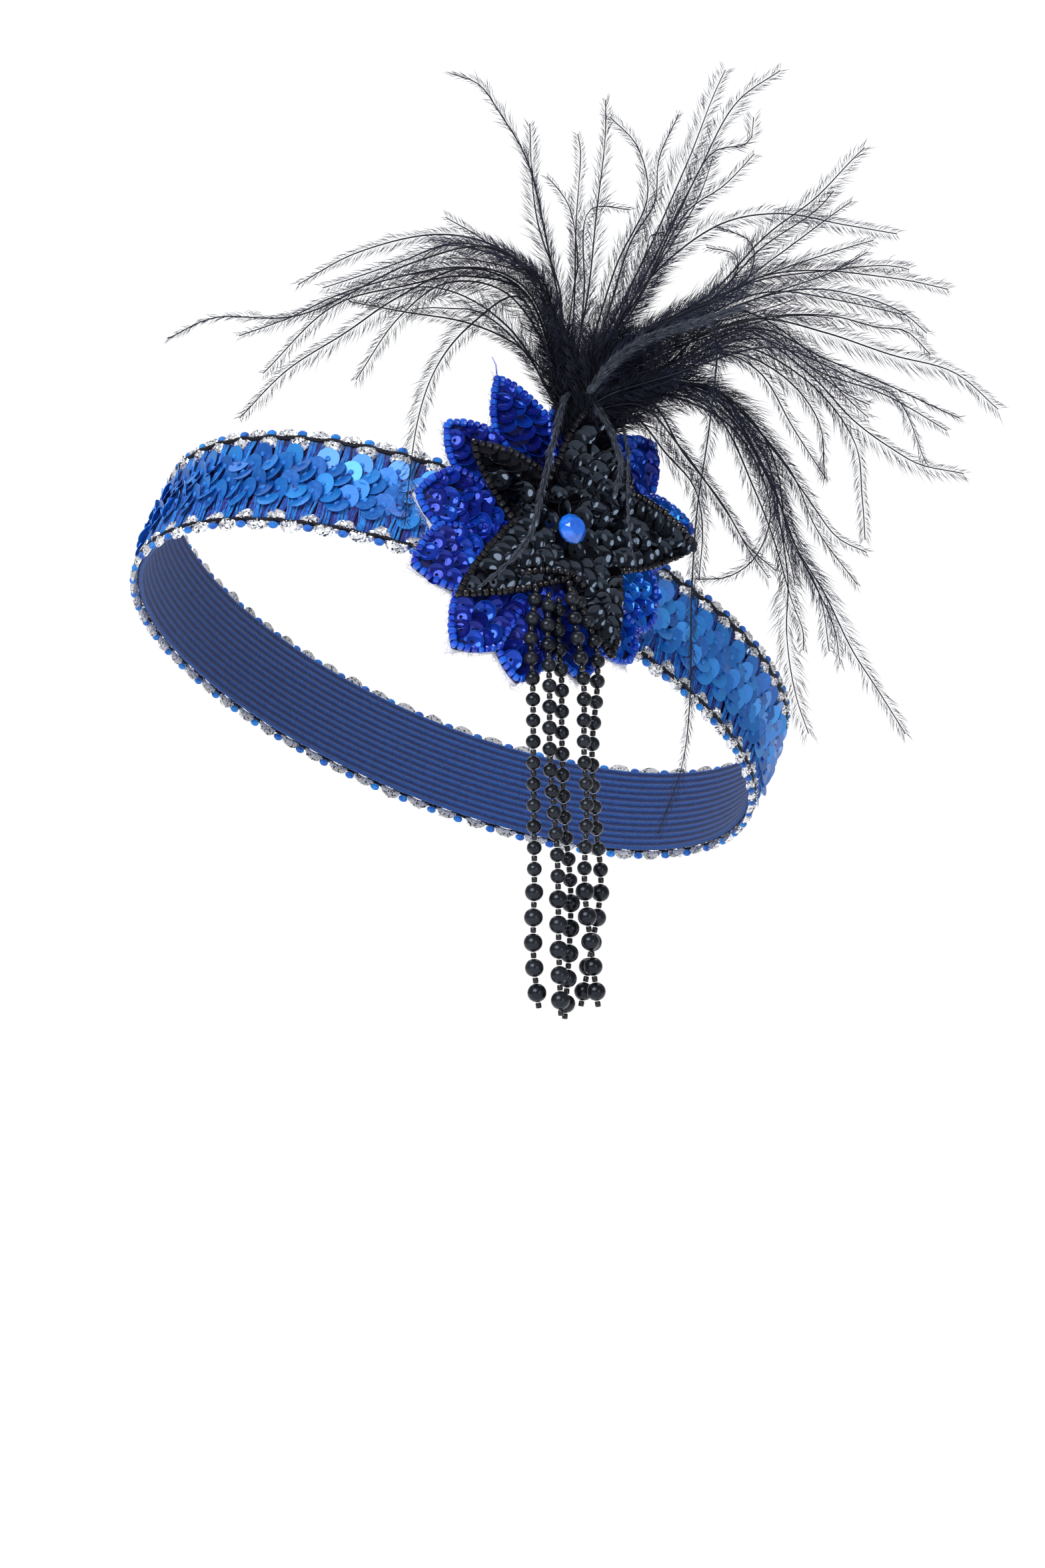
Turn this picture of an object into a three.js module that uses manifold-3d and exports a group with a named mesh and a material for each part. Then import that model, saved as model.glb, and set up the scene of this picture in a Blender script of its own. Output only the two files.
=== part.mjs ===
// A flapper headband: a sequinned band worn round the brow, with a flower of beads and sequins
// in two layers at one temple, five hanging strings of beads and a plume of ostrich feather.
//
// Millimetres, +Z up. The band is upright as worn, with its brow side towards -Y and the flower
// on its +X side. The origin is the centre of the band's loop.

import * as THREE from "three";
import { mergeVertices } from "three/addons/utils/BufferGeometryUtils.js";
import Module from "manifold-3d";

const wasm = await Module();
wasm.setup();

const radians = THREE.MathUtils.degToRad;
const { lerp, smoothstep } = THREE.MathUtils;

// Driving dimensions
// The loop, at the outer face of the cloth and half way up the band
const LOOP_HALF_WIDTH = 74;
const LOOP_HALF_DEPTH = 94;
// The loop rises towards the brow, and the band leans in at the brow and out at the nape
const LOOP_TILT = radians(23);
const LEAN_AT_TEMPLE = radians(-1);
const LEAN_SWING = radians(29);

// The band
const CLOTH_HEIGHT = 25;
const CLOTH_THICKNESS = 1.2;
const CORD_HEIGHT_ABOVE_MIDDLE = 12.2;
const SCALLOP_DEPTH = 4;
const SCALLOP_PITCH = 9;
const CORD_HALF_WIDTH = 1.1;
const BRAID_THICKNESS = 1.2;
const SEQUIN_ROWS = 4;
const SEQUIN_STACK = 1.2;
const SEQUIN_THIN_EDGE = 0.5;

// Clearance between pieces that are sewn on one another, and between pieces side by side
const SEAM = 0.4;

// The flower: its middle is this far round from the +X side and above the middle of the band
const FLOWER_TURN = radians(-31.3);
const FLOWER_ABOVE_MIDDLE = 4.9;
const FELT_THICKNESS = 1;
const FELT_MARGIN = 0.8;
const STAR_REACH = 50;
const STAR_THICKNESS = 1.8;
const PETAL_REACH = 40;
const PETAL_THICKNESS = 2.2;
// The upper petals are raised over the root of the plume, from one height on the flower to another
const PETAL_RISE = 3.5;
const PETAL_RISE_FROM = 9;
const PETAL_RISE_TO = 17;
const STONE_DIAMETER = 8;
const STONE_TABLE_DIAMETER = 4.6;
const STONE_GIRDLE = 1;
const STONE_CROWN = 2;

// The strings of beads: where they are sewn on, and the size that their routes are shares of
const STRINGS_BELOW_FLOWER_MIDDLE = 20;
const STRING_REACH = 100;
const SMALL_BEAD_DIAMETER = 3.8;
const SMALL_BEAD_PITCH = 5.3;
const SMALL_BEADS = 14;
const LARGE_BEAD_DIAMETER = 4.8;
const LARGE_BEAD_PITCH = 6.3;
const LARGE_BEADS = 5;
const SEED_DIAMETER = 1.5;

// The plume's root, between the star and the raised petals, and its locks
const PLUME_REACH = 100;
const ROOT_HALF_LENGTH = 15;
const ROOT_HALF_HEIGHT = 9;
const ROOT_ABOVE_FLOWER_MIDDLE = 28;
const LOCK_ROOT_RADIUS = 1.2;
const LOCK_RADIUS = 2.3;
const LOCK_TIP_RADIUS = 0.6;
// A lock starts up to this share of the root's half length from its middle, which it reaches when
// it bends this share of the plume's reach to the side
const LOCK_START_SPREAD = 0.6;
const LOCK_FULL_SPREAD_BEND = 0.36;
const LOCK_START_HEIGHT_SHARE = 0.75;
// The fan of feathers faces this way, turned from the brow's direction towards the flower's side
const FAN_TURN = radians(36);

// How finely the pieces are faceted
const LOOP_STEPS = 62;
const PLATE_RINGS = 4;
const LEAF_STEPS = 4;
const PETAL_STEPS = 8;
const BEAD_SIDES = 10;
const STONE_SIDES = 10;
const LOCK_SIDES = 3;
const ROOT_SIDES = 16;

// Leaves of the star, counted round from the nape side: where each points, in degrees, how far it
// reaches from the middle and how far the notch after it does, as shares of the star's reach
const STAR_LEAVES = [
  { points: 28, reach: 0.88, notch: 0.66 },
  { points: 60, reach: 0.84, notch: 0.66 },
  { points: 93, reach: 0.84, notch: 0.64 },
  { points: 126, reach: 0.89, notch: 0.62 },
  { points: 153, reach: 0.81, notch: 0.64 },
  { points: 185, reach: 0.78, notch: 0.68 },
  { points: 214, reach: 0.86, notch: 0.73 },
  { points: 243, reach: 0.96, notch: 0.8 },
  { points: 265, reach: 0.9, notch: 0.66 },
  { points: 291, reach: 0.76, notch: 0.62 },
  { points: 319, reach: 0.73, notch: 0.62 },
  { points: 344, reach: 0.68, notch: 0.58 },
];
const LEAF_BULGE = 1;

// Petals of the black flower in the same way, as shares of the petals' reach, each with where the
// notch after it points
const PETALS = [
  { points: 20, reach: 1, notchPoints: 51, notch: 0.55 },
  { points: 94, reach: 0.875, notchPoints: 125, notch: 0.375 },
  { points: 156, reach: 0.8, notchPoints: 195, notch: 0.388 },
  { points: 231, reach: 0.963, notchPoints: 279, notch: 0.338 },
  { points: 307, reach: 0.838, notchPoints: 348, notch: 0.438 },
];
const PETAL_BULGE = 1;

// Routes of the strings of beads, as shares of their reach. Each point is its distance towards the
// nape, down, and out of the band's face, from the place where the strings are sewn on.
const STRING_ROUTES = [
  [
    [-0.05, -0.04, 0.076], [-0.082, 0.085, 0.106], [-0.093, 0.21, 0.137], [-0.094, 0.4, 0.142],
    [-0.088, 0.68, 0.136], [-0.086, 0.88, 0.128], [-0.062, 1.06, 0.124],
  ],
  [
    [-0.023, -0.025, 0.094], [-0.039, 0.06, 0.116], [-0.052, 0.21, 0.149], [-0.055, 0.4, 0.158],
    [-0.036, 0.63, 0.16], [-0.033, 0.85, 0.162], [-0.026, 1.08, 0.164],
  ],
  [
    [0.017, -0.015, 0.074], [0.003, 0.07, 0.094], [-0.004, 0.18, 0.124], [-0.01, 0.31, 0.136],
    [0.002, 0.52, 0.126], [0.024, 0.71, 0.12], [0.022, 0.83, 0.12], [0.004, 1.08, 0.12],
  ],
  [
    [0.038, -0.042, 0.095], [0.033, 0.01, 0.118], [0.035, 0.08, 0.136], [0.036, 0.19, 0.166],
    [0.032, 0.37, 0.176], [0.04, 0.5, 0.176], [0.033, 0.7, 0.176], [0.049, 0.84, 0.176],
    [0.082, 1.08, 0.176],
  ],
  [
    [0.059, -0.035, 0.079], [0.087, 0.04, 0.096], [0.101, 0.11, 0.116], [0.092, 0.2, 0.136],
    [0.076, 0.36, 0.138], [0.092, 0.56, 0.13], [0.11, 0.7, 0.122], [0.084, 0.87, 0.116],
    [0.046, 1.05, 0.116],
  ],
];

// Locks of the plume, as shares of its reach in the fan's own directions from its root: towards the
// nape, up, and forward out of the fan. Each one bends through a point and ends at its tip.
const LOCKS = [
  { bend: [-0.22, 0.49, 0.14], tip: [-0.71, 0.44, 0.26] },
  { bend: [-0.2, 0.54, 0.04], tip: [-0.33, 0.62, 0.08] },
  { bend: [-0.31, 0.45, 0.2], tip: [-1.05, 0.31, 0.34] },
  { bend: [-0.2, 0.42, 0.24], tip: [-0.58, 0.19, 0.4] },
  { bend: [-0.26, 0.46, 0.12], tip: [-0.83, 0.13, 0.22] },
  { bend: [-0.29, 0.47, 0.08], tip: [-0.88, 0.32, 0.14] },
  { bend: [-0.15, 0.4, 0.3], tip: [-0.44, -0.16, 0.48] },
  { bend: [-0.09, 0.52, -0.04], tip: [-0.33, 0.99, -0.14] },
  { bend: [-0.07, 0.48, 0.08], tip: [-0.13, 0.86, 0.18] },
  { bend: [0, 0.48, -0.06], tip: [0.06, 0.91, -0.18] },
  { bend: [0.1, 0.46, 0.08], tip: [0.25, 0.88, 0.16] },
  { bend: [0.16, 0.54, -0.08], tip: [0.37, 1, -0.22] },
  { bend: [0.24, 0.56, 0.02], tip: [0.5, 0.99, 0.04] },
  { bend: [0.22, 0.44, 0.14], tip: [0.45, 0.78, 0.28] },
  { bend: [0.34, 0.46, -0.06], tip: [0.71, 0.78, -0.16] },
  { bend: [0.36, 0.4, 0.08], tip: [0.69, 0.64, 0.16] },
  { bend: [0.4, 0.52, -0.16], tip: [0.82, 0.59, -0.34] },
  { bend: [0.44, 0.4, 0], tip: [0.94, 0.42, 0] },
  { bend: [0.54, 0.34, -0.12], tip: [1.05, 0.12, -0.26] },
  { bend: [0.48, 0.3, 0.12], tip: [0.92, 0.08, 0.22] },
  { bend: [0.56, 0.26, -0.02], tip: [0.98, -0.06, -0.06] },
  { bend: [0.52, 0.24, 0.08], tip: [0.72, -0.2, 0.12] },
  { bend: [0.46, 0.18, -0.16], tip: [0.62, -0.1, -0.24] },
  { bend: [0.48, 0.1, 0], tip: [0.7, -0.33, -0.04] },
  { bend: [0.5, -0.02, -0.12], tip: [0.82, -0.71, -0.16] },
  { bend: [0.46, 0, 0.06], tip: [0.58, -0.71, 0.04] },
  { bend: [0.3, 0.1, 0.08], tip: [0.46, -0.34, 0.08] },
  { bend: [0.22, 0.12, 0.14], tip: [0.32, -0.3, 0.16] },
  { bend: [0.3, -0.12, 0.12], tip: [0.21, -0.93, 0.1] },
  { bend: [0.06, 0.36, 0.26], tip: [0.16, 0.3, 0.52] },
];

// Level directions of the loop's plan at a turn from the +X side
function levelNormal(turn) {
  const normal = new THREE.Vector3(Math.cos(turn) / LOOP_HALF_WIDTH, Math.sin(turn) / LOOP_HALF_DEPTH, 0);
  return normal.normalize();
}

function levelTangent(turn) {
  const tangent = new THREE.Vector3(-LOOP_HALF_WIDTH * Math.sin(turn), LOOP_HALF_DEPTH * Math.cos(turn), 0);
  return tangent.normalize();
}

function loopTangent(turn) {
  const rise = -Math.tan(LOOP_TILT) * LOOP_HALF_DEPTH * Math.cos(turn);
  return new THREE.Vector3(-LOOP_HALF_WIDTH * Math.sin(turn), LOOP_HALF_DEPTH * Math.cos(turn), rise);
}

function loopPoint(turn) {
  const depth = LOOP_HALF_DEPTH * Math.sin(turn);
  return new THREE.Vector3(LOOP_HALF_WIDTH * Math.cos(turn), depth, -Math.tan(LOOP_TILT) * depth);
}

// A place on the band: its turn round the loop, its height across the band and its distance out
// of the cloth's outer face
function bandPoint(turn, height, out) {
  const along = loopTangent(turn).normalize();
  const lean = LEAN_AT_TEMPLE - LEAN_SWING * Math.sin(turn);
  const across = new THREE.Vector3(0, 0, Math.cos(lean));
  across.addScaledVector(levelNormal(turn), -Math.sin(lean));
  across.addScaledVector(along, -across.dot(along)).normalize();
  const outward = new THREE.Vector3().crossVectors(along, across);
  return loopPoint(turn).addScaledVector(across, height).addScaledVector(outward, out);
}

// The turn that lies a given length along the loop from the flower's middle
const TURN_STEPS = 24;
function turnAlong(length) {
  let turn = FLOWER_TURN;
  for (let i = 0; i < TURN_STEPS; i++) {
    const half = turn + length / TURN_STEPS / 2 / loopTangent(turn).length();
    turn += length / TURN_STEPS / loopTangent(half).length();
  }
  return turn;
}

function loopLength() {
  const steps = 720;
  const step = (2 * Math.PI) / steps;
  let length = 0;
  for (let i = 0; i < steps; i++) length += loopTangent(i * step).length() * step;
  return length;
}

// A place on the flower: towards the nape and up from its middle, and out of the cloth's outer face
function flowerPoint(along, up, out) {
  return bandPoint(turnAlong(along), FLOWER_ABOVE_MIDDLE + up, out);
}

// Moves each vertex of a geometry, and keeps only the positions that a solid needs
function bend(geometry, place) {
  const positions = geometry.getAttribute("position");
  const vertex = new THREE.Vector3();
  for (let i = 0; i < positions.count; i++) {
    const moved = place(vertex.fromBufferAttribute(positions, i));
    positions.setXYZ(i, moved.x, moved.y, moved.z);
  }
  geometry.deleteAttribute("normal");
  geometry.deleteAttribute("uv");
  return mergeVertices(geometry, 1e-4);
}

// A ring round the band. Its section is a list of [height, out] corners, counted so that the
// outer side rises, and swing moves a corner up or down by its place round the loop.
function bandRing(section, steps, swing = () => 0) {
  const core = 100;
  const closed = [...section, section[0]];
  const profile = closed.map(([height, out]) => new THREE.Vector2(core + out, height));
  return bend(new THREE.LatheGeometry(profile, steps), ({ x, y, z }) => {
    const turn = Math.atan2(x, z);
    return bandPoint(turn, y + swing(turn), Math.hypot(x, z) - core);
  });
}

// A plate on the flower with a lobed outline. rise lifts it by its place on the flower.
function flowerPlate(outline, steps, rings, bottom, thickness, rise = () => 0) {
  const profile = [];
  for (let i = 0; i <= rings; i++) profile.push(new THREE.Vector2(i / rings, bottom));
  for (let i = rings; i >= 0; i--) profile.push(new THREE.Vector2(i / rings, bottom + thickness));
  return bend(new THREE.LatheGeometry(profile, steps), ({ x, y, z }) => {
    const share = THREE.MathUtils.euclideanModulo(Math.atan2(x, z) / (2 * Math.PI), 1);
    const place = outline(share).multiplyScalar(Math.hypot(x, z));
    return flowerPoint(place.x, place.y, y + rise(place.y));
  });
}

function polar(degrees, reach) {
  return new THREE.Vector2(reach, 0).rotateAround(new THREE.Vector2(), radians(degrees));
}

// The outline of a lobed plate as a function of the share of the way round: from each tip to its
// notch and on to the next tip, with each edge bulged a little
function lobes(table, size, bulge, margin = 0) {
  const tips = table.map(({ points, reach }) => polar(points, size * reach + margin));
  const notches = table.map(({ points, notchPoints, notch }, i) => {
    const next = i + 1 < table.length ? table[i + 1].points : table[0].points + 360;
    return polar(notchPoints ?? (points + next) / 2, size * notch + margin);
  });
  return (share) => {
    const place = share * table.length;
    const lobe = Math.floor(place + 1e-6) % table.length;
    const half = Math.max(place - Math.floor(place + 1e-6), 0) * 2;
    const from = half < 1 ? tips[lobe] : notches[lobe];
    const to = half < 1 ? notches[lobe] : tips[(lobe + 1) % table.length];
    const along = half < 1 ? half : half - 1;
    const edge = to.clone().sub(from);
    const outward = new THREE.Vector2(edge.y, -edge.x).normalize();
    const swell = bulge * 4 * along * (1 - along);
    return from.clone().addScaledVector(edge, along).addScaledVector(outward, swell);
  };
}

// A length of round work, made straight up the Y axis, laid along a curve and straight on past its
// end
function alongCurve(geometry, curve, reference) {
  const length = curve.getLength();
  return bend(geometry, ({ x, y, z }) => {
    const share = THREE.MathUtils.clamp(y / length, 0, 1);
    const forward = curve.getTangentAt(share);
    const side = new THREE.Vector3().crossVectors(forward, reference).normalize();
    const front = new THREE.Vector3().crossVectors(side, forward);
    const past = y - share * length;
    const middle = curve.getPointAt(share).addScaledVector(forward, past);
    return middle.addScaledVector(side, x).addScaledVector(front, z);
  });
}

// The band
function bandCloth() {
  const half = CLOTH_HEIGHT / 2;
  const section = [[-half, 0], [half, 0], [half, -CLOTH_THICKNESS], [-half, -CLOTH_THICKNESS]];
  return bandRing(section, LOOP_STEPS);
}

// Overlapped rows: each row stands proud at its lower edge and runs under the row below
function sequinRows() {
  const reach = CORD_HEIGHT_ABOVE_MIDDLE - CORD_HALF_WIDTH - SCALLOP_DEPTH / 2 - SEAM;
  const rowHeight = (2 * reach) / SEQUIN_ROWS;
  const section = [[-reach, SEAM]];
  for (let row = 0; row < SEQUIN_ROWS; row++) {
    const bottom = -reach + row * rowHeight;
    section.push([bottom, SEAM + SEQUIN_STACK]);
    section.push([bottom + rowHeight, SEAM + SEQUIN_THIN_EDGE]);
  }
  section.push([reach, SEAM]);
  return bandRing(section, LOOP_STEPS);
}

// A flat braid whose scallops swing above and below its cord
function braid(side) {
  const scallops = Math.round(loopLength() / SCALLOP_PITCH);
  const outerTop = SEAM + BRAID_THICKNESS;
  const half = CORD_HALF_WIDTH;
  const middle = side * CORD_HEIGHT_ABOVE_MIDDLE;
  const section = [[middle - half, SEAM], [middle, outerTop], [middle + half, SEAM]];
  const swing = (turn) => (SCALLOP_DEPTH / 2) * Math.cos(turn * scallops);
  return bandRing(section, 2 * scallops, swing);
}

// The flower
const FELT_BOTTOM = 2 * SEAM + SEQUIN_STACK;
const STAR_BOTTOM = FELT_BOTTOM + FELT_THICKNESS + SEAM;
const PETAL_BOTTOM = STAR_BOTTOM + STAR_THICKNESS + SEAM;

function feltBacking() {
  const outline = lobes(STAR_LEAVES, STAR_REACH, 0, FELT_MARGIN);
  return flowerPlate(outline, 2 * STAR_LEAVES.length, PLATE_RINGS, FELT_BOTTOM, FELT_THICKNESS);
}

function blueStar() {
  const outline = lobes(STAR_LEAVES, STAR_REACH, LEAF_BULGE);
  const steps = LEAF_STEPS * STAR_LEAVES.length;
  return flowerPlate(outline, steps, PLATE_RINGS, STAR_BOTTOM, STAR_THICKNESS);
}

function petalRise(up) {
  return PETAL_RISE * smoothstep(up, PETAL_RISE_FROM, PETAL_RISE_TO);
}

function blackFlower() {
  const outline = lobes(PETALS, PETAL_REACH, PETAL_BULGE);
  const steps = PETAL_STEPS * PETALS.length;
  return flowerPlate(outline, steps, PLATE_RINGS, PETAL_BOTTOM, PETAL_THICKNESS, petalRise);
}

// A round stone with a flat back, a girdle, a crown of facets and a table
function centreStone() {
  const bottom = PETAL_BOTTOM + PETAL_THICKNESS + SEAM;
  const profile = [
    new THREE.Vector2(0, 0),
    new THREE.Vector2(STONE_DIAMETER / 2, 0),
    new THREE.Vector2(STONE_DIAMETER / 2, STONE_GIRDLE),
    new THREE.Vector2(STONE_TABLE_DIAMETER / 2, STONE_GIRDLE + STONE_CROWN),
    new THREE.Vector2(0, STONE_GIRDLE + STONE_CROWN),
  ];
  const seat = flowerPoint(0, 0, bottom);
  const outward = flowerPoint(0, 0, bottom + 1).sub(seat);
  const along = loopTangent(FLOWER_TURN).normalize();
  const up = new THREE.Vector3().crossVectors(outward, along);
  return bend(new THREE.LatheGeometry(profile, STONE_SIDES), ({ x, y, z }) =>
    seat.clone().addScaledVector(along, x).addScaledVector(up, -z).addScaledVector(outward, y),
  );
}

// A string: small beads, then large ones, with a seed between each two and one at the end
function beadStrand(route) {
  const sewn = flowerPoint(0, -STRINGS_BELOW_FLOWER_MIDDLE, 0);
  const nape = levelTangent(FLOWER_TURN);
  const outward = levelNormal(FLOWER_TURN);
  const drop = new THREE.Vector3(0, 0, -1);
  const points = route.map(([along, down, out]) => {
    const offset = nape.clone().multiplyScalar(along).addScaledVector(drop, down);
    offset.addScaledVector(outward, out);
    return sewn.clone().addScaledVector(offset, STRING_REACH);
  });
  const curve = new THREE.CatmullRomCurve3(points, false, "centripetal");
  const seed = SEED_DIAMETER / 2;
  const profile = [new THREE.Vector2(0, 0)];
  let place = 0;
  for (let i = 0; i < SMALL_BEADS + LARGE_BEADS; i++) {
    const small = i < SMALL_BEADS;
    const radius = (small ? SMALL_BEAD_DIAMETER : LARGE_BEAD_DIAMETER) / 2;
    const pitch = small ? SMALL_BEAD_PITCH : LARGE_BEAD_PITCH;
    const middle = place + pitch / 2;
    const shoulder = radius * Math.cos(Math.PI / 6);
    profile.push(new THREE.Vector2(seed, place));
    profile.push(new THREE.Vector2(shoulder, middle - radius / 2));
    profile.push(new THREE.Vector2(shoulder, middle + radius / 2));
    place += pitch;
  }
  profile.push(new THREE.Vector2(seed, place));
  profile.push(new THREE.Vector2(0, place + seed));
  return alongCurve(new THREE.LatheGeometry(profile, BEAD_SIDES), curve, outward);
}

// The plume
function solid(geometry) {
  return new wasm.Manifold(
    new wasm.Mesh({
      numProp: 3,
      vertProperties: geometry.getAttribute("position").array,
      triVerts: new Uint32Array(geometry.index.array),
    }),
  );
}

function solidGeometry(joined) {
  const mesh = joined.getMesh();
  const geometry = new THREE.BufferGeometry();
  geometry.setAttribute("position", new THREE.BufferAttribute(new Float32Array(mesh.vertProperties), 3));
  geometry.setIndex(new THREE.BufferAttribute(new Uint32Array(mesh.triVerts), 1));
  return geometry;
}

// The sewn root: a flat oval pad between the star and the raised petals
function plumeRoot() {
  const thickness = PETAL_RISE - SEAM;
  const outline = (share) => {
    const turn = share * 2 * Math.PI;
    return new THREE.Vector2(ROOT_HALF_LENGTH * Math.cos(turn), ROOT_HALF_HEIGHT * Math.sin(turn));
  };
  const rim = 0.8;
  const profile = [
    new THREE.Vector2(0, 0),
    new THREE.Vector2(rim, 0),
    new THREE.Vector2(1, thickness / 2),
    new THREE.Vector2(rim, thickness),
    new THREE.Vector2(0, thickness),
  ];
  return bend(new THREE.LatheGeometry(profile, ROOT_SIDES), ({ x, y, z }) => {
    const share = THREE.MathUtils.euclideanModulo(Math.atan2(x, z) / (2 * Math.PI), 1);
    const place = outline(share).multiplyScalar(Math.hypot(x, z));
    return flowerPoint(place.x, ROOT_ABOVE_FLOWER_MIDDLE + place.y, PETAL_BOTTOM + y);
  });
}

function plumeLock({ bend: through, tip }) {
  const nape = new THREE.Vector3(Math.cos(FAN_TURN), Math.sin(FAN_TURN), 0);
  const forward = new THREE.Vector3(Math.sin(FAN_TURN), -Math.cos(FAN_TURN), 0);
  const middle = PETAL_BOTTOM + (PETAL_RISE - SEAM) / 2;
  const fanRoot = flowerPoint(0, ROOT_ABOVE_FLOWER_MIDDLE, middle);
  const rise = new THREE.Vector3(0, 0, 1);
  const fanPoint = ([along, up, out]) => {
    const offset = nape.clone().multiplyScalar(along).addScaledVector(rise, up);
    offset.addScaledVector(forward, out);
    return fanRoot.clone().addScaledVector(offset, PLUME_REACH);
  };
  // Each lock leaves the root on the side that it leans to
  const lean = THREE.MathUtils.clamp(through[0] / LOCK_FULL_SPREAD_BEND, -1, 1);
  const startUp = ROOT_ABOVE_FLOWER_MIDDLE + ROOT_HALF_HEIGHT * LOCK_START_HEIGHT_SHARE;
  const start = flowerPoint(lean * LOCK_START_SPREAD * ROOT_HALF_LENGTH, startUp, middle);
  const end = fanPoint(tip);
  const pull = fanPoint(through).multiplyScalar(2).addScaledVector(start, -0.5).addScaledVector(end, -0.5);
  const curve = new THREE.QuadraticBezierCurve3(start, pull, end);
  const length = curve.getLength();
  const waist = lerp(LOCK_RADIUS, LOCK_TIP_RADIUS, 0.3);
  const profile = [
    { radius: 0, share: 0 },
    { radius: LOCK_ROOT_RADIUS, share: 0 },
    { radius: LOCK_RADIUS, share: 0.3 },
    { radius: waist, share: 0.7 },
    { radius: LOCK_TIP_RADIUS, share: 1 },
    { radius: 0, share: 1 },
  ];
  const points = profile.map(({ radius, share }) => new THREE.Vector2(radius, share * length));
  return alongCurve(new THREE.LatheGeometry(points, LOCK_SIDES), curve, forward);
}

function plume() {
  let joined = solid(plumeRoot());
  for (const lock of LOCKS) joined = joined.add(solid(plumeLock(lock)));
  return solidGeometry(joined);
}

// The assembly
const COLOURS = {
  cloth: { color: 0x0b4fb0, roughness: 0.85, metalness: 0 },
  sequins: { color: 0x3d8fe0, roughness: 0.3, metalness: 0.3 },
  braid: { color: 0xc4c8cf, roughness: 0.35, metalness: 0.8 },
  felt: { color: 0xe9eaf2, roughness: 0.95, metalness: 0 },
  star: { color: 0x1426b4, roughness: 0.25, metalness: 0 },
  petals: { color: 0x0b0b0e, roughness: 0.2, metalness: 0 },
  stone: { color: 0x1d6fe0, roughness: 0.15, metalness: 0 },
  beads: { color: 0x1b1c21, roughness: 0.3, metalness: 0.1 },
  feather: { color: 0x0d0e14, roughness: 0.8, metalness: 0 },
};

const headband = new THREE.Group();

function addPiece(name, geometry, look) {
  const piece = new THREE.Mesh(geometry, new THREE.MeshStandardMaterial(COLOURS[look]));
  piece.name = name;
  headband.add(piece);
}

addPiece("band_cloth", bandCloth(), "cloth");
addPiece("sequin_rows", sequinRows(), "sequins");
addPiece("top_braid", braid(1), "braid");
addPiece("bottom_braid", braid(-1), "braid");
addPiece("felt_backing", feltBacking(), "felt");
addPiece("blue_star", blueStar(), "star");
addPiece("black_flower", blackFlower(), "petals");
addPiece("centre_stone", centreStone(), "stone");
STRING_ROUTES.forEach((route, i) => addPiece(`bead_strand_${i + 1}`, beadStrand(route), "beads"));
addPiece("plume", plume(), "feather");

export default headband;
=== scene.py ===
# The looks of the flapper headband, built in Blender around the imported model.
#
# Lengths are in millimetres until a mesh is made, in the model's own frame: +Z up, the brow side of
# the band towards -Y and the flower on its +X side.

import math

import bpy
import numpy as np
from mathutils import Matrix, Vector


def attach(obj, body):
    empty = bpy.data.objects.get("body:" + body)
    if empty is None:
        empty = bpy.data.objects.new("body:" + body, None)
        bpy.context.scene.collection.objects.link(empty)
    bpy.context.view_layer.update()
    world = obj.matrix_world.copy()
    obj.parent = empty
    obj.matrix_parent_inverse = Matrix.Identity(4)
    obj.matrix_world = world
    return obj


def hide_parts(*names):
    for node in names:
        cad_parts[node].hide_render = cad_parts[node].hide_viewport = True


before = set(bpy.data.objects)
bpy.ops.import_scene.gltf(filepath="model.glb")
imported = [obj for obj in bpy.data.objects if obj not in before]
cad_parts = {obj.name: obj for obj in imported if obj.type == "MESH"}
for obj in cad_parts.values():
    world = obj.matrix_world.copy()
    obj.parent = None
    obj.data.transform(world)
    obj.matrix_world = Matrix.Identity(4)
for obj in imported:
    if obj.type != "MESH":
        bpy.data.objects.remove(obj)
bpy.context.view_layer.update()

MM = 0.001
TAU = 2 * math.pi
chance = np.random.default_rng(23)

# The band's loop, as the CAD source has it
LOOP_HALF_WIDTH = 74
LOOP_HALF_DEPTH = 94
LOOP_TILT = math.radians(23)
LEAN_AT_TEMPLE = math.radians(-1)
LEAN_SWING = math.radians(29)
CLOTH_HEIGHT = 25
CLOTH_THICKNESS = 1.2
CORD_ABOVE_MIDDLE = 12.2
SCALLOP_PITCH = 9
SEAM = 0.4

# The flower
FLOWER_TURN = math.radians(-31.3)
FLOWER_ABOVE_MIDDLE = 4.9
FELT_BOTTOM = 2.0
FELT_THICKNESS = 1.0
FELT_MARGIN = 0.8
STAR_REACH = 50
STAR_BOTTOM = 3.4
PETAL_REACH = 40
PETAL_BOTTOM = 5.6
PETAL_RISE = 3.5
PETAL_RISE_FROM = 9
PETAL_RISE_TO = 17
STONE_BOTTOM = 8.2
STONE_DIAMETER = 8
STONE_GIRDLE = 1
STONE_CROWN = 2

# The strings of beads
STRINGS_BELOW_FLOWER_MIDDLE = 20
STRING_REACH = 100
SMALL_BEAD_DIAMETER = 3.8
SMALL_BEAD_PITCH = 5.3
SMALL_BEADS = 14
LARGE_BEAD_DIAMETER = 4.8
LARGE_BEAD_PITCH = 6.3
LARGE_BEADS = 5
SEED_DIAMETER = 1.5

# The plume
PLUME_REACH = 100
ROOT_HALF_LENGTH = 15
ROOT_HALF_HEIGHT = 9
ROOT_ABOVE_FLOWER_MIDDLE = 28
START_SPREAD = 0.6
FULL_SPREAD_AT = 0.36
START_HEIGHT_SHARE = 0.75
ROOT_DEPTH = 8
ROOT_SPREAD = np.array([1.8, 2.0, 0.5])
FROND_THICKNESS = 0.34
FROND_STEP = 2.5
BARB_GAP = 0.3
BARB_WIDTH = 0.075
BARB_STRETCH = 1.35
MASS_FRONDS = 34
FAN_TURN = math.radians(36)

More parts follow.
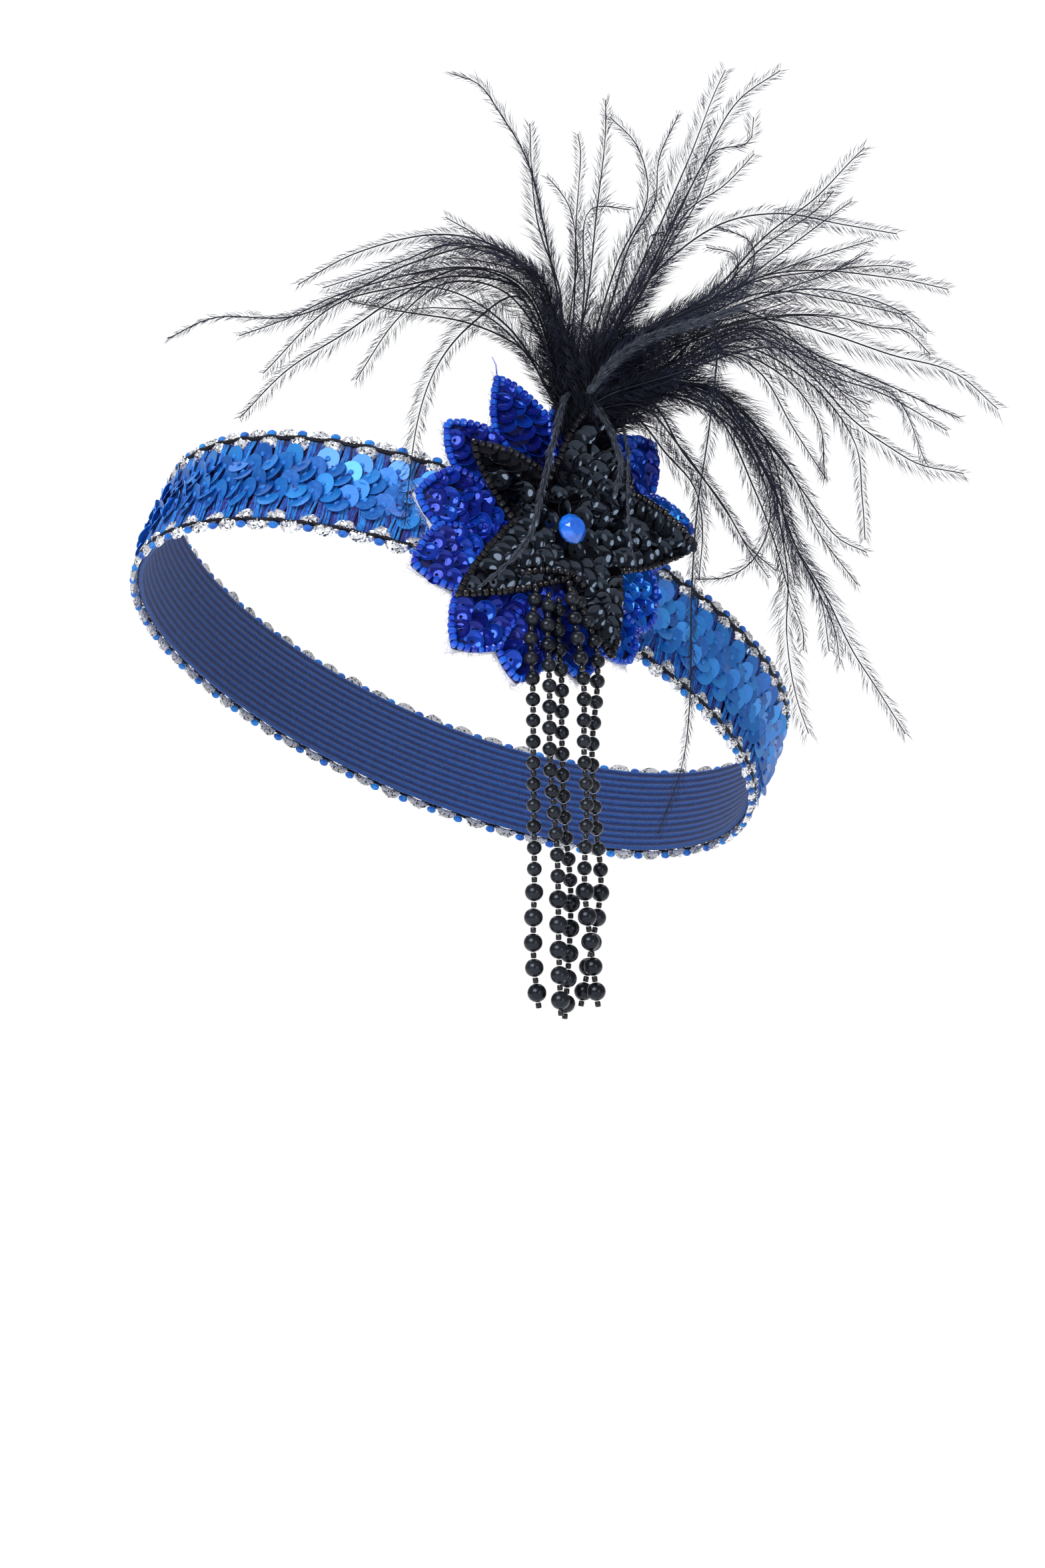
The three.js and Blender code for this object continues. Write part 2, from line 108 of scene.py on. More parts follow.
# Leaves and petals, counted round from the nape side: where each points, in degrees, and how far it
# and the notch after it reach, as shares of the whole reach
STAR_LEAVES = [
    {"points": 28, "reach": 0.88, "notch": 0.66},
    {"points": 60, "reach": 0.84, "notch": 0.66},
    {"points": 93, "reach": 0.84, "notch": 0.64},
    {"points": 126, "reach": 0.89, "notch": 0.62},
    {"points": 153, "reach": 0.81, "notch": 0.64},
    {"points": 185, "reach": 0.78, "notch": 0.68},
    {"points": 214, "reach": 0.86, "notch": 0.73},
    {"points": 243, "reach": 0.96, "notch": 0.8},
    {"points": 265, "reach": 0.9, "notch": 0.66},
    {"points": 291, "reach": 0.76, "notch": 0.62},
    {"points": 319, "reach": 0.73, "notch": 0.62},
    {"points": 344, "reach": 0.68, "notch": 0.58},
]
PETALS = [
    {"points": 20, "reach": 1, "notch_points": 51, "notch": 0.55, "cups_raised": 0},
    {"points": 94, "reach": 0.875, "notch_points": 125, "notch": 0.375, "cups_raised": 0},
    {"points": 156, "reach": 0.8, "notch_points": 195, "notch": 0.388, "cups_raised": 180},
    {"points": 231, "reach": 0.963, "notch_points": 279, "notch": 0.338, "cups_raised": 180},
    {"points": 307, "reach": 0.838, "notch_points": 348, "notch": 0.438, "cups_raised": 110},
]

# Routes of the strings, as shares of their reach: towards the nape, down and out at each point
STRING_ROUTES = [
    [
        (-0.05, -0.04, 0.076), (-0.082, 0.085, 0.106), (-0.093, 0.21, 0.137), (-0.094, 0.4, 0.142),
        (-0.088, 0.68, 0.136), (-0.086, 0.88, 0.128), (-0.062, 1.06, 0.124),
    ],
    [
        (-0.023, -0.025, 0.094), (-0.039, 0.06, 0.116), (-0.052, 0.21, 0.149), (-0.055, 0.4, 0.158),
        (-0.036, 0.63, 0.16), (-0.033, 0.85, 0.162), (-0.026, 1.08, 0.164),
    ],
    [
        (0.017, -0.015, 0.074), (0.003, 0.07, 0.094), (-0.004, 0.18, 0.124), (-0.01, 0.31, 0.136),
        (0.002, 0.52, 0.126), (0.024, 0.71, 0.12), (0.022, 0.83, 0.12), (0.004, 1.08, 0.12),
    ],
    [
        (0.038, -0.042, 0.095), (0.033, 0.01, 0.118), (0.035, 0.08, 0.136), (0.036, 0.19, 0.166),
        (0.032, 0.37, 0.176), (0.04, 0.5, 0.176), (0.033, 0.7, 0.176), (0.049, 0.84, 0.176),
        (0.082, 1.08, 0.176),
    ],
    [
        (0.059, -0.035, 0.079), (0.087, 0.04, 0.096), (0.101, 0.11, 0.116), (0.092, 0.2, 0.136),
        (0.076, 0.36, 0.138), (0.092, 0.56, 0.13), (0.11, 0.7, 0.122), (0.084, 0.87, 0.116),
        (0.046, 1.05, 0.116),
    ],
]

# Main fronds of the plume, as out, barb, copies and route. Out is how far the tip stands forward of the
# fan, barb is the length of its barbs in millimetres, and copies are shorter fronds beside it. The route
# goes from the root, towards the nape and up. Out and route are in hundredths of the plume's reach.
FRONDS = [
    (30, 4.5, 0, [(-7, 15), (-11, 36), (-24, 47), (-44, 43), (-73, 29), (-94, 28), (-105, 22)]),
    (22, 5.5, 1, [(-8, 16), (-16, 36), (-30, 42), (-59, 36), (-76, 28), (-88, 23)]),
    (10, 5, 1, [(-7, 19), (-12, 39), (-23, 48), (-38, 51), (-59, 45), (-73, 36)]),
    (2, 4.5, 1, [(-6, 23), (-13, 40), (-25, 49), (-35, 56)]),
    (16, 6, 2, [(-7, 19), (-14, 41), (-33, 48), (-48, 43), (-68, 36)]),
    (26, 5, 0, [(-8, 16), (-16, 36), (-30, 39), (-45, 36), (-63, 30), (-81, 12)]),
    (36, 5.5, 0, [(-7, 14), (-16, 37), (-30, 42), (-48, 34), (-60, 25), (-74, 15), (-85, 3)]),
    (30, 5.5, 0, [(-8, 14), (-21, 35), (-37, 37), (-50, 27), (-60, 11)]),
    (46, 6, 0, [(-8, 8), (-12, 26), (-18, 34), (-29, 26), (-37, 15), (-42, 1), (-45, -27)]),
    (42, 4, 0, [(-8, 10), (-16, 20), (-30, 26), (-47, 28), (-58, 29)]),
    (5, 6, 1, [(-9, 9), (-19, 26), (-31, 34), (-41, 36), (-55, 31)]),
    (-12, 5.5, 0, [(-6, 9), (-6, 26), (-10, 48), (-15, 70), (-22, 83), (-28, 92), (-35, 95)]),
    (-2, 5, 0, [(-6, 9), (-7, 37), (-13, 55), (-15, 80)]),
    (12, 4.5, 0, [(-5, 9), (-4, 36), (-3, 43), (-6, 56), (-12, 64)]),
    (10, 5.5, 0, [(-4, 9), (-3, 36), (-2, 54), (-1, 71), (-2, 75)]),
    (-6, 6, 0, [(-4, 9), (0, 37), (2, 58), (4, 78), (4, 86)]),
    (-10, 5, 0, [(-3, 9), (3, 30), (8, 44), (16, 61), (13, 74), (6, 82)]),
    (6, 4.5, 0, [(-3, 9), (5, 31), (11, 50), (17, 60), (18, 71), (23, 82)]),
    (-20, 7, 2, [(-2, 9), (9, 36), (21, 62), (29, 82), (36, 98)]),
    (-10, 5.5, 0, [(-2, 9), (12, 37), (27, 67), (38, 87), (49, 95)]),
    (5, 6, 0, [(-2, 9), (12, 33), (23, 57), (32, 73), (41, 75), (42, 81)]),
    (14, 5.5, 1, [(-1, 9), (13, 34), (26, 56), (35, 62), (43, 70)]),
    (-25, 4.5, 0, [(-3, 10), (0, 40), (2, 59), (13, 60)]),
    (-16, 6.5, 1, [(0, 9), (12, 25), (31, 37), (46, 52), (58, 61), (71, 74)]),
    (4, 5, 0, [(0, 9), (13, 26), (35, 36), (47, 45), (58, 53), (68, 60)]),
    (18, 4.5, 0, [(-1, 9), (11, 34), (32, 53), (48, 56), (65, 53), (79, 50)]),
    (30, 4.5, 0, [(0, 9), (20, 28), (39, 37), (41, 47), (31, 51)]),
    (26, 4, 0, [(0, 9), (13, 25), (31, 34), (38, 41), (37, 45), (30, 46)]),
    (-8, 6, 1, [(0, 9), (13, 25), (38, 38), (52, 44), (64, 48), (73, 51)]),
    (10, 5, 0, [(0, 9), (17, 24), (41, 34), (52, 38), (63, 42), (71, 46)]),
    (-28, 6, 1, [(0, 10), (17, 25), (42, 41), (61, 45), (80, 44), (95, 42)]),
    (-5, 6.5, 1, [(1, 9), (17, 23), (42, 35), (57, 38), (71, 36), (81, 32), (87, 27)]),
    (12, 4.5, 0, [(1, 9), (18, 21), (45, 29), (63, 29), (74, 26), (81, 25), (87, 19)]),
    (-22, 6.5, 1, [(1, 9), (18, 20), (41, 30), (61, 27), (79, 21), (94, 17), (106, 8)]),
    (2, 5.5, 1, [(1, 8), (20, 18), (42, 28), (60, 21), (78, 14), (94, 6)]),
    (20, 4.5, 0, [(1, 7), (20, 15), (41, 26), (58, 15), (74, 9), (89, 0)]),
    (-10, 6.5, 1, [(1, 8), (20, 16), (38, 28), (57, 16), (68, 5), (79, -3), (86, -7), (97, -9)]),
    (28, 4, 0, [(1, 7), (22, 15), (47, 21), (68, 12), (77, 7), (85, -10)]),
    (-24, 5.5, 0, [(1, 7), (20, 15), (37, 24), (55, 16), (69, 0), (71, -13), (72, -24)]),
    (10, 5, 0, [(1, 7), (20, 14), (35, 21), (49, 15), (59, 2), (61, -12)]),
    (24, 4.5, 0, [(1, 7), (20, 13), (33, 20), (43, 15), (51, 1), (59, -13)]),
    (-14, 6, 1, [
        (1, 7), (17, 13), (33, 12), (40, 3), (47, -9), (49, -20), (51, -37), (51, -50), (54, -67), (57, -76),
    ]),
    (-26, 5.5, 0, [(1, 7), (17, 15), (36, 10), (53, -8), (60, -22), (70, -37)]),
    (2, 5, 0, [(1, 7), (17, 13), (34, 11), (48, -4), (58, -17), (64, -25), (71, -29)]),
    (-8, 5.5, 1, [
        (1, 7), (17, 14), (33, 9), (46, -11), (52, -28), (59, -40), (66, -55), (73, -66), (80, -77),
    ]),
    (10, 5, 0, [(1, 6), (18, 12), (35, 5), (47, -15), (53, -30), (62, -49), (64, -59)]),
    (-20, 4.5, 0, [(1, 6), (17, 11), (31, 8), (44, -14), (53, -41), (56, -49), (56, -54)]),
    (16, 4, 0, [(1, 6), (18, 10), (38, 0), (47, -19), (43, -32), (36, -37), (27, -38)]),
    (6, 4.5, 0, [(1, 6), (15, 9), (25, -5), (37, -19), (43, -29), (50, -36)]),
    (20, 4.5, 0, [(1, 5), (13, 7), (23, -5), (35, -23), (39, -33), (43, -41)]),
    (14, 5.5, 0, [(1, 5), (11, 5), (20, -5), (27, -13), (30, -25), (29, -38)]),
    (34, 3.5, 0, [
        (1, 9), (13, 25), (30, 28), (32, 22), (30, 1),
        (27, -20), (26, -44), (26, -66), (24, -84), (18, -101),
    ]),
]
# Where the fronds of the brow side end, and those of the crown
FROND_GROUP_ENDS = (14, 30)


# Vectors, one in each row
def unit(v):
    return v / np.linalg.norm(v, axis=-1, keepdims=True)


def stacked(*columns):
    return np.stack(np.broadcast_arrays(*columns), -1)


def smooth(share):
    share = np.clip(share, 0, 1)
    return share * share * (3 - 2 * share)


# Lines of points
def lengths_along(line):
    """How far along the line each of its points lies."""
    return np.concatenate([[0], np.cumsum(np.linalg.norm(np.diff(line, axis=0), axis=1))])


def points_at(wanted, lengths, line):
    return np.stack([np.interp(wanted, lengths, column) for column in line.T], -1)


def resampled(line, pitch):
    """Places at an even pitch along a line."""
    lengths = lengths_along(line)
    count = max(2, round(lengths[-1] / pitch) + 1)
    return points_at(np.linspace(0, lengths[-1], count), lengths, line)


def catmull_rom(points, steps=40):
    """A centripetal curve through the points, as three.js draws it."""
    points = np.asarray(points, float)
    points = np.concatenate([[2 * points[0] - points[1]], points, [2 * points[-1] - points[-2]]])
    s = np.linspace(0, 1, steps, endpoint=False)[:, None]
    line = []
    for i in range(1, len(points) - 2):
        p0, p1, p2, p3 = points[i - 1 : i + 3]
        d0, d1, d2 = (np.linalg.norm(b - a) ** 0.5 for a, b in ((p0, p1), (p1, p2), (p2, p3)))
        t1 = ((p1 - p0) / d0 - (p2 - p0) / (d0 + d1) + (p2 - p1) / d1) * d1
        t2 = ((p2 - p1) / d1 - (p3 - p1) / (d1 + d2) + (p3 - p2) / d2) * d1
        a, b = 2 * p1 - 2 * p2 + t1 + t2, -3 * p1 + 3 * p2 - 2 * t1 - t2
        line.append(a * s**3 + b * s**2 + t1 * s + p1)
    return np.concatenate(line + [points[-2:-1]])


# The band's surface
def loop_point(turn):
    depth = LOOP_HALF_DEPTH * np.sin(turn)
    return stacked(LOOP_HALF_WIDTH * np.cos(turn), depth, -math.tan(LOOP_TILT) * depth)


def loop_tangent(turn):
    depth = LOOP_HALF_DEPTH * np.cos(turn)
    return stacked(-LOOP_HALF_WIDTH * np.sin(turn), depth, -math.tan(LOOP_TILT) * depth)


def loop_normal(turn):
    return unit(stacked(np.cos(turn) / LOOP_HALF_WIDTH, np.sin(turn) / LOOP_HALF_DEPTH, 0))


def band_axes(turn):
    """Along the band, across it and out of it, at each turn round the loop."""
    along = unit(loop_tangent(turn))
    lean = LEAN_AT_TEMPLE - LEAN_SWING * np.sin(turn)
    across = stacked(0, 0, np.cos(lean)) - loop_normal(turn) * np.sin(lean)[..., None]
    across = unit(across - along * (across * along).sum(-1, keepdims=True))
    return along, across, np.cross(along, across)


def band_point(turn, height, out):
    turn, height, out = np.broadcast_arrays(turn, height, out)
    along, across, outward = band_axes(turn)
    return loop_point(turn) + across * height[..., None] + outward * out[..., None]


TURNS = np.linspace(-TAU, TAU, 14401)
LENGTHS = lengths_along(loop_point(TURNS))
LOOP_LENGTH = LENGTHS[-1] / 2
SCALLOPS = round(LOOP_LENGTH / SCALLOP_PITCH)


def turn_at(length, start=0.0):
    """The turn that lies a length along the loop from another turn."""
    return np.interp(np.interp(start, TURNS, LENGTHS) + length, LENGTHS, TURNS)


def flower_point(along, up, out):
    return band_point(turn_at(along, FLOWER_TURN), FLOWER_ABOVE_MIDDLE + up, out)


def flower_axes(along):
    return band_axes(turn_at(along, FLOWER_TURN))


# Outlines of the star and the black flower
def polar(degrees, reach):
    angle = math.radians(degrees)
    return np.array([reach * math.cos(angle), reach * math.sin(angle)])


def tips_and_notches(table, size, margin=0.0):
    tips, notches = [], []
    for row, after in zip(table, table[1:] + table[:1]):
        halfway = row["points"] + (after["points"] - row["points"]) % 360 / 2
        tips.append(polar(row["points"], size * row["reach"] + margin))
        notches.append(polar(row.get("notch_points", halfway), size * row["notch"] + margin))
    return tips, notches


def bulged(start, end, bulge, steps):
    """Points along an edge that swells out to its right."""
    share = np.linspace(0, 1, steps)[:, None]
    edge = end - start
    outward = np.array([edge[1], -edge[0]]) / np.linalg.norm(edge)
    return start + edge * share + outward * bulge * 4 * share * (1 - share)


def plate_outline(table, size, bulge, margin=0.0):
    corners = [corner for pair in zip(*tips_and_notches(table, size, margin)) for corner in pair]
    pairs = zip(corners, corners[1:] + corners[:1])
    return np.concatenate([bulged(start, end, bulge, EDGE_STEPS)[:-1] for start, end in pairs])


def lobes(table, size, bulge, steps):
    """The tip of each leaf or petal, the notch after it, and its edge from the notch before it."""
    tips, notches = tips_and_notches(table, size)
    for i, tip in enumerate(tips):
        rising = bulged(notches[i - 1], tip, bulge, steps)[:-1]
        yield tip, notches[i], np.concatenate([rising, bulged(tip, notches[i], bulge, steps)])


# Meshes
class Parts:
    """Collects points, faces and a tone for each point, and makes one mesh of them."""

    def __init__(self):
        self.points = []
        self.tones = []
        self.faces = []
        self.looks = []
        self.count = 0

    def add(self, points, *groups, tone=0.5, look=0):
        """Points, and groups of faces that have the same number of corners."""
        points = np.reshape(points, (-1, 3))
        for group in groups:
            self.faces.append(group + self.count)
            self.looks.append(np.full(len(group), look))
        self.points.append(points)
        self.tones.append(np.broadcast_to(tone, len(points)))
        self.count += len(points)

    def add_each(self, points, groups, tones, look):
        """The same faces on each row of points."""
        count, size = points.shape[:2]
        offsets = np.arange(count)[:, None, None] * size
        groups = [(group + offsets).reshape(-1, group.shape[1]) for group in groups]
        self.add(points, *groups, tone=np.broadcast_to(tones, (count, size)).ravel(), look=look)

    def scatter(self, shape, places, axes, sizes=1.0, tones=0.5, look=0, painted_highlights=0.0):
        """Copies of a shape: each at its place, with its own three axes as rows, size and tone.

        Painted highlights are added to the tone at each point of the shape.
        """
        points, groups = shape
        sizes = sizes if np.ndim(sizes) == 2 else np.reshape(sizes, (-1, 1))
        scale = np.broadcast_to(sizes, (len(places), 3))[:, None]
        moved = np.einsum("nij,njk->nik", points * scale, axes) + places[:, None]
        self.add_each(moved, groups, np.reshape(tones, (-1, 1)) + painted_highlights, look)

    def mesh(self, name, materials, replaces=(), shaded="smooth"):
        """One mesh that is shaded smooth or flat, or smooth with sharp edges from an angle in degrees."""
        points = np.concatenate(self.points) * MM
        sizes = np.concatenate([np.full(len(f), f.shape[1]) for f in self.faces])
        corners = np.concatenate([f.ravel() for f in self.faces])
        data = bpy.data.meshes.new(name)
        data.vertices.add(len(points))
        data.vertices.foreach_set("co", points.astype(np.float32).ravel())
        data.loops.add(len(corners))
        data.loops.foreach_set("vertex_index", corners.astype(np.int32))
        data.polygons.add(len(sizes))
        data.polygons.foreach_set("loop_start", (np.cumsum(sizes) - sizes).astype(np.int32))
        data.update(calc_edges=True)
        data.validate()
        for material in materials:
            data.materials.append(material)
        data.polygons.foreach_set("material_index", np.concatenate(self.looks).astype(np.int32))
        tone = data.attributes.new("tone", "FLOAT", "POINT")
        tone.data.foreach_set("value", np.concatenate(self.tones).astype(np.float32))
        if shaded == "flat":
            data.shade_flat()
        else:
            data.shade_smooth()
        if shaded not in ("smooth", "flat"):
            data.set_sharp_from_angle(angle=math.radians(shaded))
        piece = bpy.data.objects.new(name, data)
        bpy.context.scene.collection.objects.link(piece)
        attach(piece, "root")
        if replaces:
            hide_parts(*replaces)
        return piece


def grid_faces(rows, columns, closed_rows=False, closed_columns=False):
    """Quads of a grid of points, counted row by row."""
    i, j = np.indices((rows - (not closed_rows), columns - (not closed_columns))).reshape(2, -1)
    below, beside = (i + 1) % rows, (j + 1) % columns
    return stacked(i * columns + j, i * columns + beside, below * columns + beside, below * columns + j)


def tube_faces(rings, sides):
    """Quads of a tube of rings of points, and the caps at its ends."""
    last = (rings - 1) * sides
    caps = np.array([range(sides - 1, -1, -1), range(last, last + sides)])
    return grid_faces(rings, sides, closed_columns=True), caps


def tube(line, radii, sides, reference=(0, 0, 1)):
    """The rings of points of a round tube along a line."""
    forward = unit(np.gradient(line, axis=0))
    side = unit(np.cross(forward, reference))
    front = np.cross(side, forward)
    angles = np.arange(sides)[:, None] / sides * TAU
    radii = np.reshape(radii, (-1, 1, 1))
    x, y = np.cos(angles) * radii, np.sin(angles) * radii
    return line[:, None] + side[:, None] * x + front[:, None] * y


def turned(profile, sides, closed=False):
    """A profile of (radius, height) turned round the Z axis. A radius of 0 at an end makes a pole."""
    angles = np.arange(sides) / sides * TAU
    points, rings = [], []
    for radius, height in profile:
        around = angles if radius else angles[:1]
        rings.append(np.arange(len(around)) + len(points))
        points += [(radius * math.cos(a), radius * math.sin(a), height) for a in around]
    quads, triangles = [], []
    for low, high in zip(rings, rings[1:] + rings[: int(closed)]):
        for j in range(sides):
            k = (j + 1) % sides
            if len(low) == 1:
                triangles.append((low[0], high[k], high[j]))
            elif len(high) == 1:
                triangles.append((low[j], low[k], high[0]))
            else:
                quads.append((low[j], low[k], high[k], high[j]))
    return np.array(points, float), [np.array(group) for group in (quads, triangles) if group]


def spokes(forward):
    """Three directions round each axis, from a random start."""
    side = unit(np.cross(forward, unit(chance.normal(0, 1, forward.shape))))
    front = np.cross(forward, side)
    return [side * math.cos(angle) + front * math.sin(angle) for angle in (0, TAU / 3, TAU * 2 / 3)]


def raised_axes(forward, outward, tilt, roll):
    """Axes of discs that are raised at the side they head to, and rolled about it, both in degrees."""
    tilt, roll = np.radians(tilt)[:, None], np.radians(roll)[:, None]
    lifted = forward * np.cos(tilt) + outward * np.sin(tilt)
    side = np.cross(outward, forward)
    side = side * np.cos(roll) + np.cross(lifted, side) * np.sin(roll)
    return np.stack([lifted, side, np.cross(lifted, side)], 1)


# Materials
class Look:
    """A material with one principled shader, and short calls that add its nodes."""

    def __init__(self, name, **sockets):
        self.material = bpy.data.materials.new(name)
        self.material.use_nodes = True
        self.tree = self.material.node_tree
        self.shader = self.tree.nodes["Principled BSDF"]
        for key, value in sockets.items():
            self.set(self.shader.inputs[key.replace("_", " ")], value)

    def set(self, socket, value):
        if isinstance(value, bpy.types.NodeSocket):
            self.tree.links.new(value, socket)
        else:
            socket.default_value = (*value, 1) if isinstance(value, tuple) else value

    def node(self, kind, inputs, **settings):
        made = self.tree.nodes.new(kind)
        for key, value in settings.items():
            setattr(made, key, value)
        for key, value in inputs.items():
            self.set(made.inputs[key], value)
        return made

    def place(self):
        return self.node("ShaderNodeTexCoord", {}).outputs["Object"]

    def tone(self):
        return self.node("ShaderNodeAttribute", {}, attribute_name="tone").outputs["Fac"]

    def noise(self, size, detail=2.0, roughness=0.5):
        """Noise whose features are about this many millimetres across."""
        inputs = {"Vector": self.place(), "Scale": 1 / (size * MM), "Detail": detail, "Roughness": roughness}
        return self.node("ShaderNodeTexNoise", inputs).outputs["Fac"]

    def ramp(self, factor, *stops):
        """A colour ramp of (place, colour) stops."""
        made = self.node("ShaderNodeValToRGB", {"Fac": factor})
        elements = made.color_ramp.elements
        while len(elements) < len(stops):
            elements.new(0.5)
        for element, (place, colour) in zip(elements, stops):
            element.position = place
            element.color = (*colour, 1)
        return made.outputs["Color"]

    def mix(self, factor, first, second):
        return self.node("ShaderNodeMix", {0: factor, 6: first, 7: second}, data_type="RGBA").outputs[2]

    def calc(self, first, second, operation="ADD"):
        return self.node("ShaderNodeMath", {0: first, 1: second}, operation=operation).outputs[0]

    def range(self, value, low, high, to_low=0.0, to_high=1.0):
        inputs = {"Value": value, "From Min": low, "From Max": high, "To Min": to_low, "To Max": to_high}
        return self.node("ShaderNodeMapRange", inputs).outputs["Result"]

    def colour(self, value):
        self.set(self.shader.inputs["Base Color"], value)

    def clouded(self, body, noise, low, high, share, cloud):
        """The body's colour, with a share of the cloud's where the noise is high."""
        self.colour(self.mix(self.range(noise, low, high, 0, share), body, cloud))

    def worn(self, noise, smooth, rough):
        self.set(self.shader.inputs["Roughness"], self.range(noise, 0.3, 0.7, smooth, rough))

    def bump(self, height, strength, distance):
        inputs = {"Height": height, "Strength": strength, "Distance": distance * MM}
        self.set(self.shader.inputs["Normal"], self.node("ShaderNodeBump", inputs).outputs["Normal"])


def fibre_look(name, noise, dark, pale, bump, **sockets):
    """Fibres between a dark and a pale colour, which stand out where they are pale; the dark between them is
    painted shade.
    """
    look = Look(name, **sockets)
    fibres = look.noise(*noise)
    look.colour(look.ramp(fibres, dark, pale))
    look.bump(fibres, *bump)
    return look.material


def ground_look():
    """The band's cloth under the sequins: dark violet thread, darkened partly as painted shade under the
    sequins.
    """
    dark, pale = (0.35, (0.006, 0.003, 0.05)), (0.7, (0.02, 0.012, 0.16))
    return fibre_look("violet_ground", (0.5, 3), dark, pale, (0.7, 0.3), Roughness=0.85)


def blue_ground_look():
    """The dark blue net that the beads are sewn on."""
    dark, pale = (0.35, (0.004, 0.004, 0.05)), (0.7, (0.01, 0.02, 0.2))
    return fibre_look("blue_ground", (0.6, 3), dark, pale, (0.6, 0.2), Roughness=0.8)


def cord_look():
    """Twisted black cord."""
    dark, pale = (0.35, (0.001, 0.001, 0.003)), (0.7, (0.01, 0.01, 0.022))
    sockets = {"Roughness": 0.6, "Specular IOR Level": 0.2}
    return fibre_look("black_cord", (0.4, 3), dark, pale, (0.6, 0.2), **sockets)


def felt_look():
    """White felt, matted, a little grey in its hollows as painted shade."""
    dark, pale = (0.3, (0.55, 0.58, 0.68)), (0.65, (0.86, 0.87, 0.92))
    sockets = {"Roughness": 0.95, "Sheen Weight": 0.4}
    return fibre_look("white_felt", (0.5, 5, 0.7), dark, pale, (0.7, 0.3), **sockets)


def elastic_look():
    """Knitted elastic, seen from inside the band: ribs along it, with loops of thread between them, and
    painted shade in the grooves between the ribs.
    """
    look = Look("band_elastic", Roughness=0.85, Sheen_Weight=0.15, Sheen_Roughness=0.5)
    turn = look.calc(look.tone(), TAU * ELASTIC_RIBS, "MULTIPLY")
    rib = look.range(look.calc(turn, 0.0, "COSINE"), -1, 1)
    loops = look.calc(rib, look.range(look.noise(0.35), 0.3, 0.7, -0.35, 0.35))
    shade = look.calc(loops, look.range(look.noise(1.4, 3), 0.3, 0.7, -0.2, 0.2))
    # The dark stop paints shade in the grooves between the ribs.
    deep, blue, pale = (0.1, (0.002, 0.016, 0.1)), (0.5, (0.003, 0.035, 0.19)), (0.95, (0.006, 0.07, 0.31))
    look.colour(look.ramp(shade, deep, blue, pale))
    look.bump(loops, 0.8, 0.3)
    return look.material


def yarn_look():
    """Royal blue yarn, painted violet as painted shade where it lies deep, and lighter as painted light
    where its fibres stand out.
    """
    look = Look("blue_yarn", Roughness=0.75, Sheen_Weight=0.3, Sheen_Roughness=0.4)
    streaks = look.noise(0.3, 3, 0.6)
    # The tone paints shade and light: low for deep yarn, high for yarn that stands out.
    depth = look.calc(look.range(look.tone(), 0, 1, -0.3, 0.3), look.noise(0.9))
    deep = (0.2, (0.018, 0.01, 0.16)), (0.38, (0.006, 0.05, 0.36))
    pale = (0.6, (0.003, 0.13, 0.56)), (0.85, (0.01, 0.27, 0.78))
    body = look.ramp(depth, *deep, *pale)
    look.clouded(body, streaks, 0.5, 0.8, 0.5, (0.01, 0.015, 0.2))
    look.bump(streaks, 0.6, 0.25)
    return look.material


def sequin_look():
    """Satin blue plastic film, a little scuffed, with small differences from disc to disc."""
    look = Look("blue_sequin", Metallic=0.4, Coat_Weight=0.3, Coat_Roughness=0.3)
    film = look.noise(1.1, 4, 0.6)
    blue = look.ramp(
        look.tone(), (0, (0.006, 0.1, 0.46)), (0.5, (0.006, 0.18, 0.66)), (1, (0.03, 0.31, 0.85))
    )
    look.clouded(blue, film, 0.45, 0.8, 0.4, (0.07, 0.34, 0.74))
    look.worn(film, 0.32, 0.44)
    look.bump(look.noise(0.9, 3), 0.2, 0.08)
    return look.material


def silver_look():
    """Crumpled metal foil yarn: small facets, painted at random from white, as painted highlights, to dark,
    as painted shade in the creases.
    """
    look = Look("silver_foil", Metallic=0.7)
    place = look.place()
    bend = look.node("ShaderNodeTexNoise", {"Vector": place, "Scale": 1 / (0.8 * MM), "Detail": 2.0})
    pull = look.node("ShaderNodeVectorMath", {0: bend.outputs["Color"], 3: 0.5 * MM}, operation="SCALE")
    moved = look.node("ShaderNodeVectorMath", {0: place, 1: pull.outputs[0]}, operation="ADD")
    cells = look.node("ShaderNodeTexVoronoi", {"Vector": moved.outputs[0], "Scale": 1 / (0.42 * MM)})
    pick = look.node("ShaderNodeSeparateColor", {"Color": cells.outputs["Color"]}).outputs["Red"]
    # The facet colours paint light and shade: the dark stops are painted shade, the white stops painted
    # highlights.
    painted_shade_and_light = (0.0, (0.012, 0.014, 0.035)), (0.13, (0.08, 0.09, 0.14)), (0.22, (0.55, 0.6, 0.7))
    look.colour(look.ramp(pick, *painted_shade_and_light, (0.42, (0.95, 0.96, 1.0)), (1.0, (1.0, 1.0, 1.0))))
    look.set(look.shader.inputs["Roughness"], look.range(pick, 0, 1, 0.4, 0.15))
    look.bump(pick, 0.8, 0.25)
    return look.material


def glass_blue_look():
    """Royal blue glass seed beads: deep where thick and bright where light comes through."""
    sockets = {"Roughness": 0.08, "Transmission Weight": 0.15, "IOR": 1.5}
    look = Look("blue_glass", Coat_Weight=0.5, Coat_Roughness=0.05, **sockets)
    blue = look.ramp(
        look.tone(), (0, (0.014, 0.01, 0.3)), (0.5, (0.006, 0.03, 0.5)), (1, (0.01, 0.13, 0.8))
    )
    look.clouded(blue, look.noise(1.0), 0.45, 0.75, 0.6, (0.015, 0.2, 0.95))
    return look.material


